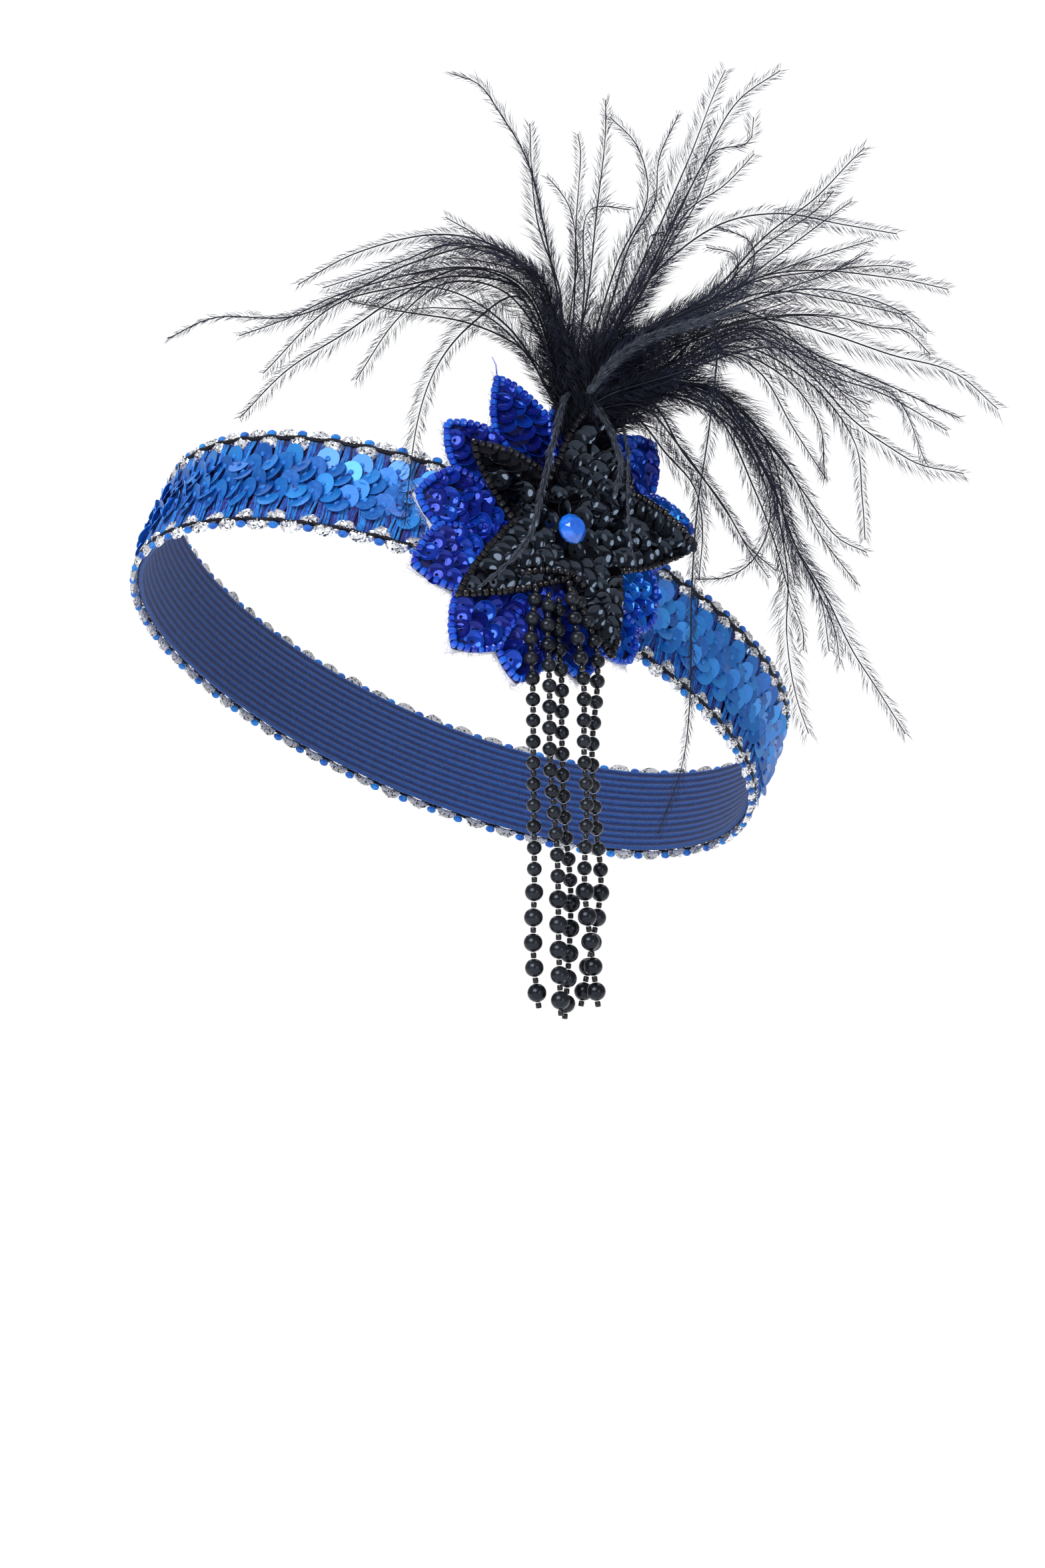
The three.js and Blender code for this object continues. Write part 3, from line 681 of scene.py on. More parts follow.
def blue_cup_look():
    """Deep indigo cup sequins of clear plastic, lighter at their thin rims as a painted highlight."""
    sockets = {"Metallic": 0.45, "Specular Tint": (0.25, 0.5, 1)}
    look = Look("indigo_sequin", Coat_Weight=0.2, Coat_Roughness=0.06, **sockets)
    film = look.noise(1.0, 3)
    deep = (0, (0.01, 0.01, 0.15)), (0.4, (0.01, 0.025, 0.32))
    pale = (0.65, (0.008, 0.07, 0.56)), (1, (0.02, 0.24, 0.85))
    blue = look.ramp(look.tone(), *deep, *pale)
    look.clouded(blue, film, 0.5, 0.8, 0.4, (0.015, 0.02, 0.4))
    look.worn(film, 0.07, 0.2)
    return look.material


def black_cup_look():
    """Glossy black cup sequins, a little grey at their thin rims as a painted highlight."""
    sockets = {"Specular Tint": (0.5, 0.7, 1), "Coat Tint": (0.7, 0.85, 1)}
    look = Look("black_sequin", Coat_Weight=0.25, Coat_Roughness=0.05, **sockets)
    black = (0, (0.002, 0.002, 0.003)), (0.6, (0.006, 0.006, 0.009))
    look.colour(look.ramp(look.tone(), *black, (1, (0.05, 0.055, 0.07))))
    look.worn(look.noise(1.2, 3), 0.06, 0.18)
    look.bump(look.noise(1.8), 0.1, 0.1)
    return look.material


def black_seed_look():
    """Black glass seed beads."""
    look = Look("black_glass", Specular_IOR_Level=0.35, Coat_Weight=0.25, Coat_Roughness=0.05)
    look.colour(look.mix(look.tone(), (0.003, 0.003, 0.005), (0.014, 0.014, 0.02)))
    look.worn(look.noise(0.8), 0.08, 0.2)
    return look.material


def pearl_look():
    """Satin black pearls: dark, with a soft grey blue shine under a thin gloss."""
    sockets = {"Specular IOR Level": 0.3, "Specular Tint": (0.65, 0.8, 1)}
    look = Look("black_pearl", Coat_Weight=0.2, Coat_Roughness=0.12, **sockets)
    look.colour(look.mix(look.tone(), (0.003, 0.003, 0.005), (0.012, 0.013, 0.018)))
    look.worn(look.noise(0.9, 4, 0.6), 0.2, 0.32)
    return look.material


def stone_look():
    """Clear blue glass under a hard gloss."""
    look = Look("blue_stone", Roughness=0.06, Coat_Weight=1.0, Coat_Roughness=0.03)
    look.colour(look.ramp(look.noise(3.0), (0.35, (0.006, 0.11, 0.68)), (0.65, (0.015, 0.2, 0.88))))
    return look.material


def feather_look():
    """Black ostrich, with a blue cast on its barbs."""
    look = Look("black_feather", Roughness=0.5, Specular_IOR_Level=0.25)
    dark = look.mix(look.tone(), (0.001, 0.0013, 0.0035), (0.022, 0.028, 0.065))
    look.clouded(dark, look.noise(2.5, 3), 0.5, 0.8, 0.4, (0.014, 0.019, 0.042))
    return look.material


def painted_lit_feather_look():
    """The paler feathers at the front: their grey blue is painted light, where they catch the light."""
    look = Look("painted_lit_feather", Roughness=0.5, Specular_IOR_Level=0.3)
    shade = look.calc(look.range(look.tone(), 0, 1, -0.35, 0.35), look.noise(1.5, 3))
    look.colour(look.ramp(shade, (0.2, (0.01, 0.012, 0.02)), (0.8, (0.11, 0.13, 0.18))))
    return look.material


def floor_look():
    look = Look("pale_floor", Roughness=1.0, Specular_IOR_Level=0)
    look.colour(look.ramp(look.noise(60), (0.4, FLOOR_COLOUR), (0.6, tuple(1.01 * c for c in FLOOR_COLOUR))))
    return look.material


# The band: a strip of knitted elastic in a closed loop, ribbed on its inner face
ELASTIC_RIBS = 12
RIB_STEPS = 4
ELASTIC_RIB_DEPTH = 0.18
CLOTH_EDGE = 0.3
CLOTH_STEPS = 300


def make_cloth():
    parts = Parts()
    turns = np.arange(CLOTH_STEPS) / CLOTH_STEPS * TAU
    top = CLOTH_HEIGHT / 2
    crown = top - CLOTH_EDGE
    front, back = -CLOTH_EDGE, CLOTH_EDGE - CLOTH_THICKNESS
    outer = stacked(np.linspace(-crown, crown, 9), 0.0)
    share = np.linspace(0, 1, ELASTIC_RIBS * RIB_STEPS + 1)
    grooves = ELASTIC_RIB_DEPTH * (0.5 - 0.5 * np.cos(share * ELASTIC_RIBS * TAU))
    inner = stacked(crown * (1 - 2 * share), grooves - CLOTH_THICKNESS)
    section = np.concatenate([outer, [(top, front), (top, back)], inner, [(-top, back), (-top, front)]])
    height, out = section.T
    faces = grid_faces(CLOTH_STEPS, len(section), closed_rows=True, closed_columns=True)[:, ::-1]
    tones = np.tile(0.5 - height / (2 * crown), CLOTH_STEPS)
    on_front = np.arange(len(faces)) % len(section) < len(outer) - 1
    parts.add(band_point(turns[:, None], height, out), faces, tone=tones, look=on_front)
    cloth = parts.mesh("band_elastic", [elastic_look(), ground_look()], ["band_cloth"])


# Tufts of yarn that stand across the band, with their ends tucked under the braids. Every second tuft
# stands out and is painted bright, as painted light, and the ones between are narrower, lie deeper and
# are painted violet, as painted shade.
TUFTS_IN_SCALLOP = 4
STRANDS_IN_TUFT = 4
STRAND_RADIUS = 0.36
STRAND_STEPS = 9
STRAND_SIDES = 4
TUFT_WIDTHS = (1.3, 1.9)
TUFT_SWAY = 0.5


def make_ribs():
    parts = Parts()
    count = SCALLOPS * TUFTS_IN_SCALLOP
    half = CORD_ABOVE_MIDDLE - 0.4
    share = np.linspace(0, 1, STRAND_STEPS)
    height = -half + 2 * half * share[:, None]
    angles = np.arange(STRAND_SIDES) / STRAND_SIDES * TAU
    faces = tube_faces(STRAND_STEPS, STRAND_SIDES)
    for i in range(count):
        bright = i % 2
        middle = (i + 0.5) / count * LOOP_LENGTH
        sway = TUFT_SWAY * np.sin(share * TAU * 1.2 + chance.uniform(0, TAU))
        for k in range(STRANDS_IN_TUFT):
            spread = (k / (STRANDS_IN_TUFT - 1) - 0.5) * TUFT_WIDTHS[bright]
            belly = 1 + 0.35 * np.sin(share * TAU + chance.uniform(0, TAU))
            along = middle + sway + spread * belly + chance.normal(0, 0.05, STRAND_STEPS)
            radius = STRAND_RADIUS * (0.75 + 0.45 * chance.uniform(0, 1, STRAND_STEPS))[:, None]
            lift = 0.35 + 0.3 * bright + chance.uniform(0, 0.25)
            out = SEAM * 0.3 + lift + np.sin(angles) * radius
            points = band_point(turn_at(along[:, None] + np.cos(angles) * radius), height, out)
            # The tone paints light on the tufts that stand out and shade on the deeper ones.
            parts.add(points, *faces, tone=0.15 + 0.55 * bright + chance.uniform(-0.15, 0.3))
    parts.mesh("yarn_ribs", [yarn_look()])


# Sequins: two zigzag rows of discs, each tucked under the one before it, and held by a knot and a stitch
SEQUIN_RADIUS = 3.0
SEQUIN_HOLE = 0.5
SEQUIN_THICKNESS = 0.12
SEQUIN_TILT = 22
SEQUINS_ABOVE_CLOTH = 1.5
ZIGZAG_SWING = 2.6
ZIGZAG_MIDDLES = (4.2, -3.1)
ZIGZAG_SHIFT = 0.1 * SCALLOP_PITCH
SEQUINS_IN_ZIGZAG = 4


def make_sequins():
    parts = Parts()
    half = SEQUIN_THICKNESS / 2
    section = [(SEQUIN_HOLE, -half), (SEQUIN_RADIUS, -half), (SEQUIN_RADIUS, half), (SEQUIN_HOLE, half)]
    disc = turned(section, 24, closed=True)
    knot = turned([(0, -0.5), (0.7, -0.3), (0.7, 0.3), (0, 0.5)], 6)
    stitch = turned([(0, -1.1), (0.5, -0.8), (0.34, 0.6), (0, 0.9)], 6)
    pitch = LOOP_LENGTH / SCALLOPS / SEQUINS_IN_ZIGZAG
    count = SCALLOPS * SEQUINS_IN_ZIGZAG
    i = np.arange(count)
    wave = ZIGZAG_SWING * np.cos(i % SEQUINS_IN_ZIGZAG / SEQUINS_IN_ZIGZAG * TAU)
    for row, middle in enumerate(ZIGZAG_MIDDLES):
        length = i * pitch + ZIGZAG_SHIFT * row + chance.normal(0, 0.12, count)
        height = middle + wave + chance.normal(0, 0.15, count)
        before = np.roll(length, 1)
        before[0] -= LOOP_LENGTH
        step = unit(stacked(length - before, height - np.roll(height, 1)))
        turn = turn_at(length)
        along, across, outward = band_axes(turn)
        forward = along * step[:, :1] + across * step[:, 1:]
        tilt = chance.normal(SEQUIN_TILT, 5.5, count)
        axes = raised_axes(forward, outward, tilt, chance.normal(0, 6.5, count))
        lifted, side, face = axes.swapaxes(0, 1)
        places = band_point(turn, height, SEQUINS_ABOVE_CLOTH + chance.normal(0, 0.06, count))
        parts.scatter(disc, places, axes, tones=chance.uniform(0, 1, count))
        parts.scatter(knot, places + face * 0.12, axes, tones=chance.uniform(0.6, 1, count), look=1)
        # The stitch takes the darkest violet of the yarn, partly as painted shade where it crosses the
        # sequin.
        axes = np.stack([side, face * 0.7, -lifted], 1)
        parts.scatter(stitch, places - lifted + face * 0.16, axes, tones=0.0, look=1)
    parts.mesh("sequins", [sequin_look(), yarn_look()], ["sequin_rows"], shaded=40)


# A braid: a thin black cord, crumpled silver domes to both sides of it, and puffs of blue yarn
CORD_STEPS = 10
CORD_SIDES = 8
CORD_SWING = 0.3
CORD_HALF_WIDTH = 0.55
CORD_HALF_HEIGHT = 0.5
CORD_ABOVE_CLOTH = 1.25
DOME_HALF_WIDTH = 3.2
DOME_HEIGHT = 3.1
DOME_OUTER_SHARE = 0.85
DOME_ROWS = 7
DOME_COLUMNS = 12
DOME_CRUMPLE = 0.2
PUFF_ABOVE_CORD = 1.35
PUFF = [(0, -1.4), (0.55, -1.15), (0.9, -0.5), (0.95, 0.3), (0.65, 1.0), (0, 1.35)]


def dome_faces():
    """The faces of a dome: its top, its bottom and the wall between them, round its rim."""
    size = DOME_ROWS * DOME_COLUMNS
    grid = grid_faces(DOME_ROWS, DOME_COLUMNS)
    place = np.arange(size).reshape(DOME_ROWS, DOME_COLUMNS)
    rim = np.concatenate([place[0], place[1:, -1], place[-1, -2::-1], place[-2:0:-1, 0]])
    after = np.roll(rim, -1)
    return np.concatenate([grid, grid[:, ::-1] + size, stacked(rim, rim + size, after + size, after)])


def make_braid(side, name, node):
    parts = Parts()
    middle = side * CORD_ABOVE_MIDDLE
    steps = np.arange(SCALLOPS * CORD_STEPS)
    turns = turn_at(steps / len(steps) * LOOP_LENGTH)
    line = band_point(turns, middle + CORD_SWING * np.cos(steps / CORD_STEPS * TAU), CORD_ABOVE_CLOTH)
    along, across, outward = band_axes(turns)
    angles = np.arange(CORD_SIDES)[:, None] / CORD_SIDES * TAU
    x, y = CORD_HALF_WIDTH * np.cos(angles), CORD_HALF_HEIGHT * np.sin(angles)
    cord = line[:, None] + across[:, None] * x + outward[:, None] * y
    parts.add(cord, grid_faces(len(steps), CORD_SIDES, closed_rows=True, closed_columns=True), look=1)
    # Each dome is a half oval in plan, thickest along its middle
    around = np.linspace(0, math.pi, DOME_COLUMNS)
    reach = np.linspace(0.0, 1.0, DOME_ROWS)[:, None]
    rise = 0.55 + 1.15 * np.sqrt(1 - reach**2)
    faces = dome_faces()
    for i in range(SCALLOPS):
        for inner in (True, False):
            place = (i + (0 if inner else 0.5)) / SCALLOPS * LOOP_LENGTH
            to = -side if inner else side
            width = DOME_HALF_WIDTH * chance.uniform(0.9, 1.05)
            height = DOME_HEIGHT * chance.uniform(0.88, 1.05) * (1 if inner else DOME_OUTER_SHARE)
            x = place + width * np.cos(around) * reach
            y = 0.25 + height * np.sin(around) * reach
            crumple = chance.normal(0, DOME_CRUMPLE, (3, DOME_ROWS, DOME_COLUMNS))
            crumple[:, -1] *= 0.7
            top = band_point(turn_at(x + crumple[0]), middle + to * (y + crumple[1]), rise + crumple[2])
            bottom = band_point(turn_at(x), middle + to * y, 0.35)
            parts.add([top, bottom], faces[:, ::-to])
    turn = turn_at(np.arange(SCALLOPS) / SCALLOPS * LOOP_LENGTH + chance.normal(0, 0.2, SCALLOPS))
    along, across, outward = band_axes(turn)
    axes = np.stack([across * side, outward, along * side], 1)
    spots = band_point(turn, middle + side * PUFF_ABOVE_CORD, 0.95)
    parts.scatter(turned(PUFF, 10), spots, axes, tones=chance.uniform(0.5, 1, SCALLOPS), look=2)
    parts.mesh(name, [silver_look(), cord_look(), yarn_look()], [node], shaded=24)


# Plates on the flower, as rings of points from the middle of the top, round the rim, to the bottom
PLATE_RINGS = 8
PLATE_THICKNESS = 0.6
EDGE_STEPS = 12
RIM = [(0.985, 0.85), (1.0, 0.5), (0.985, 0.15)]


def level(up):
    return 0 * up


def lift_of_petals(up):
    return PETAL_RISE * smooth((up - PETAL_RISE_FROM) / (PETAL_RISE_TO - PETAL_RISE_FROM))


def add_plate(parts, outline, bottom, thickness, lift=level, fray=0.0, tone=0.5, look=0):
    """A closed plate under an outline, rounded at its rim, and roughened there if frayed."""
    count = len(outline)
    shares = [r / PLATE_RINGS for r in range(1, PLATE_RINGS)]
    ragged = 1 + chance.normal(0, fray, count)[:, None] / np.linalg.norm(outline, axis=1, keepdims=True)
    rings = []
    for share, height in [(s, 1.0) for s in shares] + RIM + [(s, 0.0) for s in shares[::-1]]:
        x, y = (outline * share * (ragged if share > 0.9 else 1)).T
        rings.append(flower_point(x, y, bottom + thickness * height + lift(y)))
    middles = [flower_point(0, 0, bottom + thickness), flower_point(0, 0, bottom)]
    i = np.arange(count)
    j = np.roll(i, -1)
    end = len(rings) * count
    caps = stacked(end, i, j), stacked(end + 1, end - count + j, end - count + i)
    faces = grid_faces(len(rings), count, closed_columns=True)[:, ::-1]
    parts.add(np.concatenate(rings + [middles]), faces, *caps, tone=tone, look=look)


# The felt, a little larger and thicker than its plate in the CAD, with loose fibres along its cut edge
FIBRES = 1500
FIBRE_RADIUS = 0.05
FIBRE_FACES = np.array([[1, 2, 0], [0, 2, 3], [2, 1, 3], [1, 0, 3]])


def make_felt():
    parts = Parts()
    outline = plate_outline(STAR_LEAVES, STAR_REACH, 0, FELT_MARGIN + 0.2)
    add_plate(parts, outline, FELT_BOTTOM, FELT_THICKNESS + 0.3, fray=0.18)
    picks = chance.integers(0, len(outline), FIBRES)
    start = outline[picks] + chance.normal(0, 0.3, (FIBRES, 2))
    heading = unit(unit(start) + chance.normal(0, 0.8, (FIBRES, 2)))
    reach = chance.uniform(0.5, 2.2, (FIBRES, 1))
    heights = FELT_BOTTOM + chance.uniform(0.1, 1.1, FIBRES)
    end = start + heading * reach + chance.normal(0, 0.15, (FIBRES, 2))
    first = flower_point(*start.T, heights)
    last = flower_point(*end.T, heights + chance.normal(0, 0.35, FIBRES))
    corners = [first + FIBRE_RADIUS * spoke for spoke in spokes(unit(last - first))]
    parts.add_each(np.stack([*corners, last], 1), [FIBRE_FACES], 0.5, 0)
    felt = parts.mesh("felt_edge", [felt_look()], ["felt_backing"])


# A seed bead, as (radius, height) from hole to hole, and how long it is drawn for its width
SEED_BEAD = [
    (0.28, -0.5), (0.62, -0.62), (0.92, -0.42), (1.0, 0), (0.92, 0.42), (0.62, 0.62), (0.28, 0.5),
]
SEED_STRETCH = 1.25


def add_beads_along(parts, line, radius, out, pitch, lift=level, tones=(0, 1)):
    """Seed beads threaded along a line on the flower, each with its hole along the thread."""
    places = resampled(line, pitch)
    count = len(places)
    heading = np.gradient(places, axis=0)
    heading = unit(heading + chance.normal(0, 0.12 * pitch, heading.shape))
    x, y = (places + chance.normal(0, 0.06, (count, 2))).T
    along, across, outward = flower_axes(x)
    spots = flower_point(x, y, out + lift(y) + chance.normal(0, 0.08, count))
    forward = along * heading[:, :1] + across * heading[:, 1:]
    axes = np.stack([np.cross(outward, forward), outward, forward], 1)
    sizes = radius * chance.uniform(0.9, 1.08, count)
    scale = stacked(sizes, sizes, sizes * SEED_STRETCH)
    parts.scatter(turned(SEED_BEAD, 9, closed=True), spots, axes, scale, chance.uniform(*tones, count))


# A cupped sequin: rings of its film as (radius, height) from the hole to the rim
CUP_RADIUS = 3.0
CUP_FILM = 0.1
CUP_RINGS = [(0.5, 0), (1.5, 0.04), (2.4, 0.34), (2.86, 0.68), (CUP_RADIUS, 0.82)]
CUP_MARGIN = 3.4


def cup(sides):
    """A cupped sequin, and a painted highlight for each of its points, highest at its thin rim."""
    back = [(radius, height + CUP_FILM) for radius, height in CUP_RINGS[::-1]]
    shape = turned(CUP_RINGS + back, sides, closed=True)
    reach = np.linalg.norm(shape[0][:, :2], axis=1)
    # The rim's points get a painted highlight.
    return shape, np.where(reach > CUP_RADIUS - 0.05, 0.5, 0.0)


def add_cups(parts, places, heading, out, radius, tilt, turn=0, lift=level, tones=(0, 0.5), sides=16):
    """Cup sequins on the flower, each raised at the side that it heads to once it is turned."""
    count = len(places)
    x, y = polar(turn, 1)
    heading = heading @ np.array([(x, y), (-y, x)])
    x, y = places.T
    along, across, outward = flower_axes(x)
    heading = unit(heading + chance.normal(0, 0.14, (count, 2)))
    forward = along * heading[:, :1] + across * heading[:, 1:]
    slope = tilt + chance.normal(0, 8, count)
    axes = raised_axes(forward, outward, slope, chance.normal(0, 11, count))
    spots = flower_point(x, y, out + lift(y))
    sizes = radius / CUP_RADIUS * chance.uniform(0.94, 1.04, count)
    shape, painted_highlights = cup(sides)
    parts.scatter(shape, spots, axes, sizes, chance.uniform(*tones, count), 1, painted_highlights)


def offset_at(reach, reaches, offsets):
    order = np.argsort(reaches)
    return np.interp(reach, reaches[order], offsets[order])


def cups_in_lobe(tip, edge, first, last, step, across_step):
    """Places of overlapping cups in rows across a lobe, from near its tip towards the middle."""
    axis = unit(tip)
    across = np.array([-axis[1], axis[0]])
    reaches, offsets = edge @ axis, edge @ across
    left, right = offsets > 0, offsets <= 0
    places, headings = [], []
    for reach in np.arange(np.linalg.norm(tip) - first, last, -step):
        low = offset_at(reach, reaches[right], offsets[right]) + CUP_MARGIN
        high = offset_at(reach, reaches[left], offsets[left]) - CUP_MARGIN
        count = max(1, round((high - low) / across_step) + (high - low > 1.5))
        for spot in np.linspace(low, high, count) if count > 1 else [(low + high) / 2]:
            place = axis * (reach + chance.normal(0, 0.25)) + across * (spot + chance.normal(0, 0.2))
            places.append(place)
            headings.append(axis + across * 0.75 * spot / max(reach, 1))
    return np.array(places), np.array(headings)


# The blue star. The leaves towards the nape have bright cups with a faceted rim. On the other side the
# cups are raised towards the middle, and show their hollows.
TOP_LEAF = 3
THREAD_END = np.array([(0.3, -1.5), (-0.4, 0.6), (-1.0, 2.2), (-2.4, 4.2)])
THREAD_HEIGHTS = np.array([0.2, 0.4, 0.7, 0.5])
THREAD_RADII = [0.22, 0.2, 0.18, 0.12]


def make_star():
    parts = Parts()
    outline = plate_outline(STAR_LEAVES, STAR_REACH, 1)
    add_plate(parts, outline, STAR_BOTTOM, PLATE_THICKNESS, tone=0.1, look=2)
    out = STAR_BOTTOM + 1.4
    for tip, notch, edge in lobes(STAR_LEAVES, STAR_REACH, 1.0, EDGE_STEPS):
        rim = edge - unit(edge) * 0.7
        add_beads_along(parts, rim, radius=1.05, out=out, pitch=1.75, tones=(0.25, 1))
        vein = np.stack([notch * 0.96, notch * 0.5])
        add_beads_along(parts, vein, radius=0.9, out=out + 0.3, pitch=1.6, tones=(0.0, 0.7))
        reach = np.linalg.norm(tip)
        lobe = cups_in_lobe(tip, edge, first=5.0, last=reach * 0.4, step=3.0, across_step=4.2)
        if tip[0] > 0.6 * reach:
            raised = {"out": STAR_BOTTOM + 1.1, "radius": 3.0, "tilt": 20}
            add_cups(parts, *lobe, **raised, tones=(0.5, 0.95), sides=7)
        else:
            raised = {"out": STAR_BOTTOM + 1.0, "radius": 2.9, "tilt": 24}
            raised["turn"] = 180 if tip[0] < 0 else 0
            add_cups(parts, *lobe, **raised, tones=(0.05, 0.65))
    # A loose end of thread at the tip of the top leaf
    row = STAR_LEAVES[TOP_LEAF]
    ends = polar(row["points"], STAR_REACH * row["reach"]) + THREAD_END
    line = flower_point(*ends.T, out + THREAD_HEIGHTS)
    thread = tube(line, THREAD_RADII, 6, reference=(1, 0, 0))
    parts.add(thread, *tube_faces(len(line), 6), tone=0.6)
    looks = [glass_blue_look(), blue_cup_look(), blue_ground_look()]
    parts.mesh("blue_applique", looks, ["blue_star"], shaded=32)


# The black petals, with a ring of cups round the stone and a second row of seeds above the strings
CUPS_ROUND_STONE = 6
STONE_CUPS_REACH = 5.6
SEED_PITCH = 1.72
INNER_SEEDS = [(-10, -17.4), (-6, -14.8), (-1.8, -12.8), (2.4, -11.2), (6.2, -12.6)]


def make_petals():
    parts = Parts()
    outline = plate_outline(PETALS, PETAL_REACH, 1)
    add_plate(parts, outline, PETAL_BOTTOM, PLATE_THICKNESS, lift=lift_of_petals, tone=0.0, look=2)
    for row, (tip, _, edge) in zip(PETALS, lobes(PETALS, PETAL_REACH, 1.2, 14)):
        rim = edge - unit(edge) * 0.8
        seeds = {"radius": 1.02, "pitch": SEED_PITCH, "out": PETAL_BOTTOM + 1.5}
        add_beads_along(parts, rim, **seeds, lift=lift_of_petals)
        lobe = cups_in_lobe(tip, edge, first=4.8, last=7.5, step=3.2, across_step=4.0)
        raised = {"out": PETAL_BOTTOM + 1.0, "radius": 3.1, "tilt": 21, "turn": row["cups_raised"]}
        add_cups(parts, *lobe, **raised, lift=lift_of_petals)
    angles = np.arange(CUPS_ROUND_STONE) * 360 / CUPS_ROUND_STONE
    ring = np.array([polar(angle, STONE_CUPS_REACH) for angle in angles])
    add_cups(parts, ring, ring, out=PETAL_BOTTOM + 1.4, radius=3.0, tilt=15, lift=lift_of_petals)
    inner = catmull_rom(INNER_SEEDS, 10)
    add_beads_along(parts, inner, radius=1.0, out=PETAL_BOTTOM + 2.4, pitch=SEED_PITCH)
    looks = [black_seed_look(), black_cup_look(), cord_look()]
    parts.mesh("black_petals", looks, ["black_flower"], shaded=32)


# The stone in the middle, cut with a table, star facets and kite facets. Its rings have a radius as a
# share of the stone's, a height, and a turn in sides.
STONE_SIDES = 12
STONE_TOP = STONE_GIRDLE + STONE_CROWN
STONE_RINGS = [
    (0.96, 0.0, 0), (1, STONE_GIRDLE * 0.4, 0), (1, STONE_GIRDLE, 0),
    (0.8, STONE_GIRDLE + STONE_CROWN * 0.55, 0.5), (0.58, STONE_TOP, 0),
]


def make_stone():
    parts = Parts()
    reach, height, shift = np.array(STONE_RINGS).T[:, :, None]
    angles = (np.arange(STONE_SIDES) + shift) / STONE_SIDES * TAU
    radius = reach * STONE_DIAMETER / 2
    points = stacked(radius * np.cos(angles), radius * np.sin(angles), height).reshape(-1, 3)
    ring = np.arange(len(points)).reshape(-1, STONE_SIDES)
    after = np.roll(ring, -1, axis=1)
    facets = [
        (ring[0], after[0], after[1]), (ring[0], after[1], ring[1]),
        (ring[1], after[1], after[2]), (ring[1], after[2], ring[2]),
        (ring[2], after[2], ring[3]), (after[2], after[3], ring[3]),
        (ring[3], after[4], ring[4]), (ring[3], after[3], after[4]),
        (len(points), ring[4], after[4]), (len(points) + 1, after[0], ring[0]),
    ]
    points = np.concatenate([points, [(0, 0, STONE_TOP), (0, 0, 0)]])
    moved = flower_point(0.0, 0.0, STONE_BOTTOM) + points @ np.stack(flower_axes(0.0))
    parts.add(moved, *[stacked(*facet) for facet in facets])
    parts.mesh("stone", [stone_look()], ["centre_stone"], shaded="flat")


# The strings: pearls with a small seed bead before each and after the last
HALF_SEED = SEED_DIAMETER / 2
SEED_BLOCK = [
    (0, -HALF_SEED), (HALF_SEED * 0.8, -HALF_SEED), (HALF_SEED, -HALF_SEED * 0.7),
    (HALF_SEED, HALF_SEED * 0.7), (HALF_SEED * 0.8, HALF_SEED), (0, HALF_SEED),
]
BALL_STEPS = 11


def ball(radius):
    angles = [math.pi * k / BALL_STEPS - math.pi / 2 for k in range(1, BALL_STEPS)]
    arc = [(radius * math.cos(a), radius * math.sin(a)) for a in angles]
    return turned([(0, -radius), *arc, (0, radius)], 18)


def make_string(number, route):
    parts = Parts()
    sewn = flower_point(0.0, -STRINGS_BELOW_FLOWER_MIDDLE, 0.0)
    nape = unit(loop_tangent(FLOWER_TURN) * (1, 1, 0))
    outward = loop_normal(FLOWER_TURN)
    drop = np.array([0, 0, -1.0])
    line = catmull_rom([sewn + STRING_REACH * (nape * a + drop * d + outward * o) for a, d, o in route])
    lengths = lengths_along(line)
    total = lengths[-1]

    def bead_at(length):
        """A bead's place and axes. Past its end the string goes on straight."""
        here = min(length, total)
        place, back, ahead = points_at([here, max(here - 0.4, 0), min(here + 0.4, total)], lengths, line)
        forward = unit(ahead - back)
        side = unit(np.cross(forward, outward))
        return place + forward * (length - here), np.stack([side, np.cross(forward, side), forward])

    def add_beads(shape, beads, sizes, look):
        spots, axes = (np.array(column) for column in zip(*beads))
        parts.scatter(shape, spots, axes, sizes, chance.uniform(0, 1, len(beads)), look)

    pitches = [SMALL_BEAD_PITCH] * SMALL_BEADS + [LARGE_BEAD_PITCH] * LARGE_BEADS
    places = np.cumsum([0, *pitches])
    pearls = [bead_at(place + pitch / 2) for place, pitch in zip(places, pitches)]
    small, large = pearls[:SMALL_BEADS], pearls[SMALL_BEADS:]
    for diameter, beads in ((SMALL_BEAD_DIAMETER, small), (LARGE_BEAD_DIAMETER, large)):
        sizes = chance.uniform(0.97, 1.02, (len(beads), 1)) * [(1, 1, 0.97)]
        add_beads(ball(diameter / 2), beads, sizes, 0)
    add_beads(turned(SEED_BLOCK, 8), [bead_at(place) for place in places], [(1, 1, 0.95)], 1)
    node = f"bead_strand_{number}"
    looks = [pearl_look(), black_seed_look()]
    parts.mesh(f"pearl_string_{number}", looks, [node], shaded=50)


# The plume is a fan that stands across the flower
FAN_NAPE = np.array([math.cos(FAN_TURN), math.sin(FAN_TURN), 0])
FAN_FRONT = np.array([math.sin(FAN_TURN), -math.cos(FAN_TURN), 0])
ROOT_MIDDLE = PETAL_BOTTOM + (PETAL_RISE - SEAM) / 2


def fan_point(place):
    root = flower_point(0.0, ROOT_ABOVE_FLOWER_MIDDLE, ROOT_MIDDLE)
    along, up, out = np.asarray(place, float) * PLUME_REACH
    return root + FAN_NAPE * along + np.array([0, 0, up]) + FAN_FRONT * out


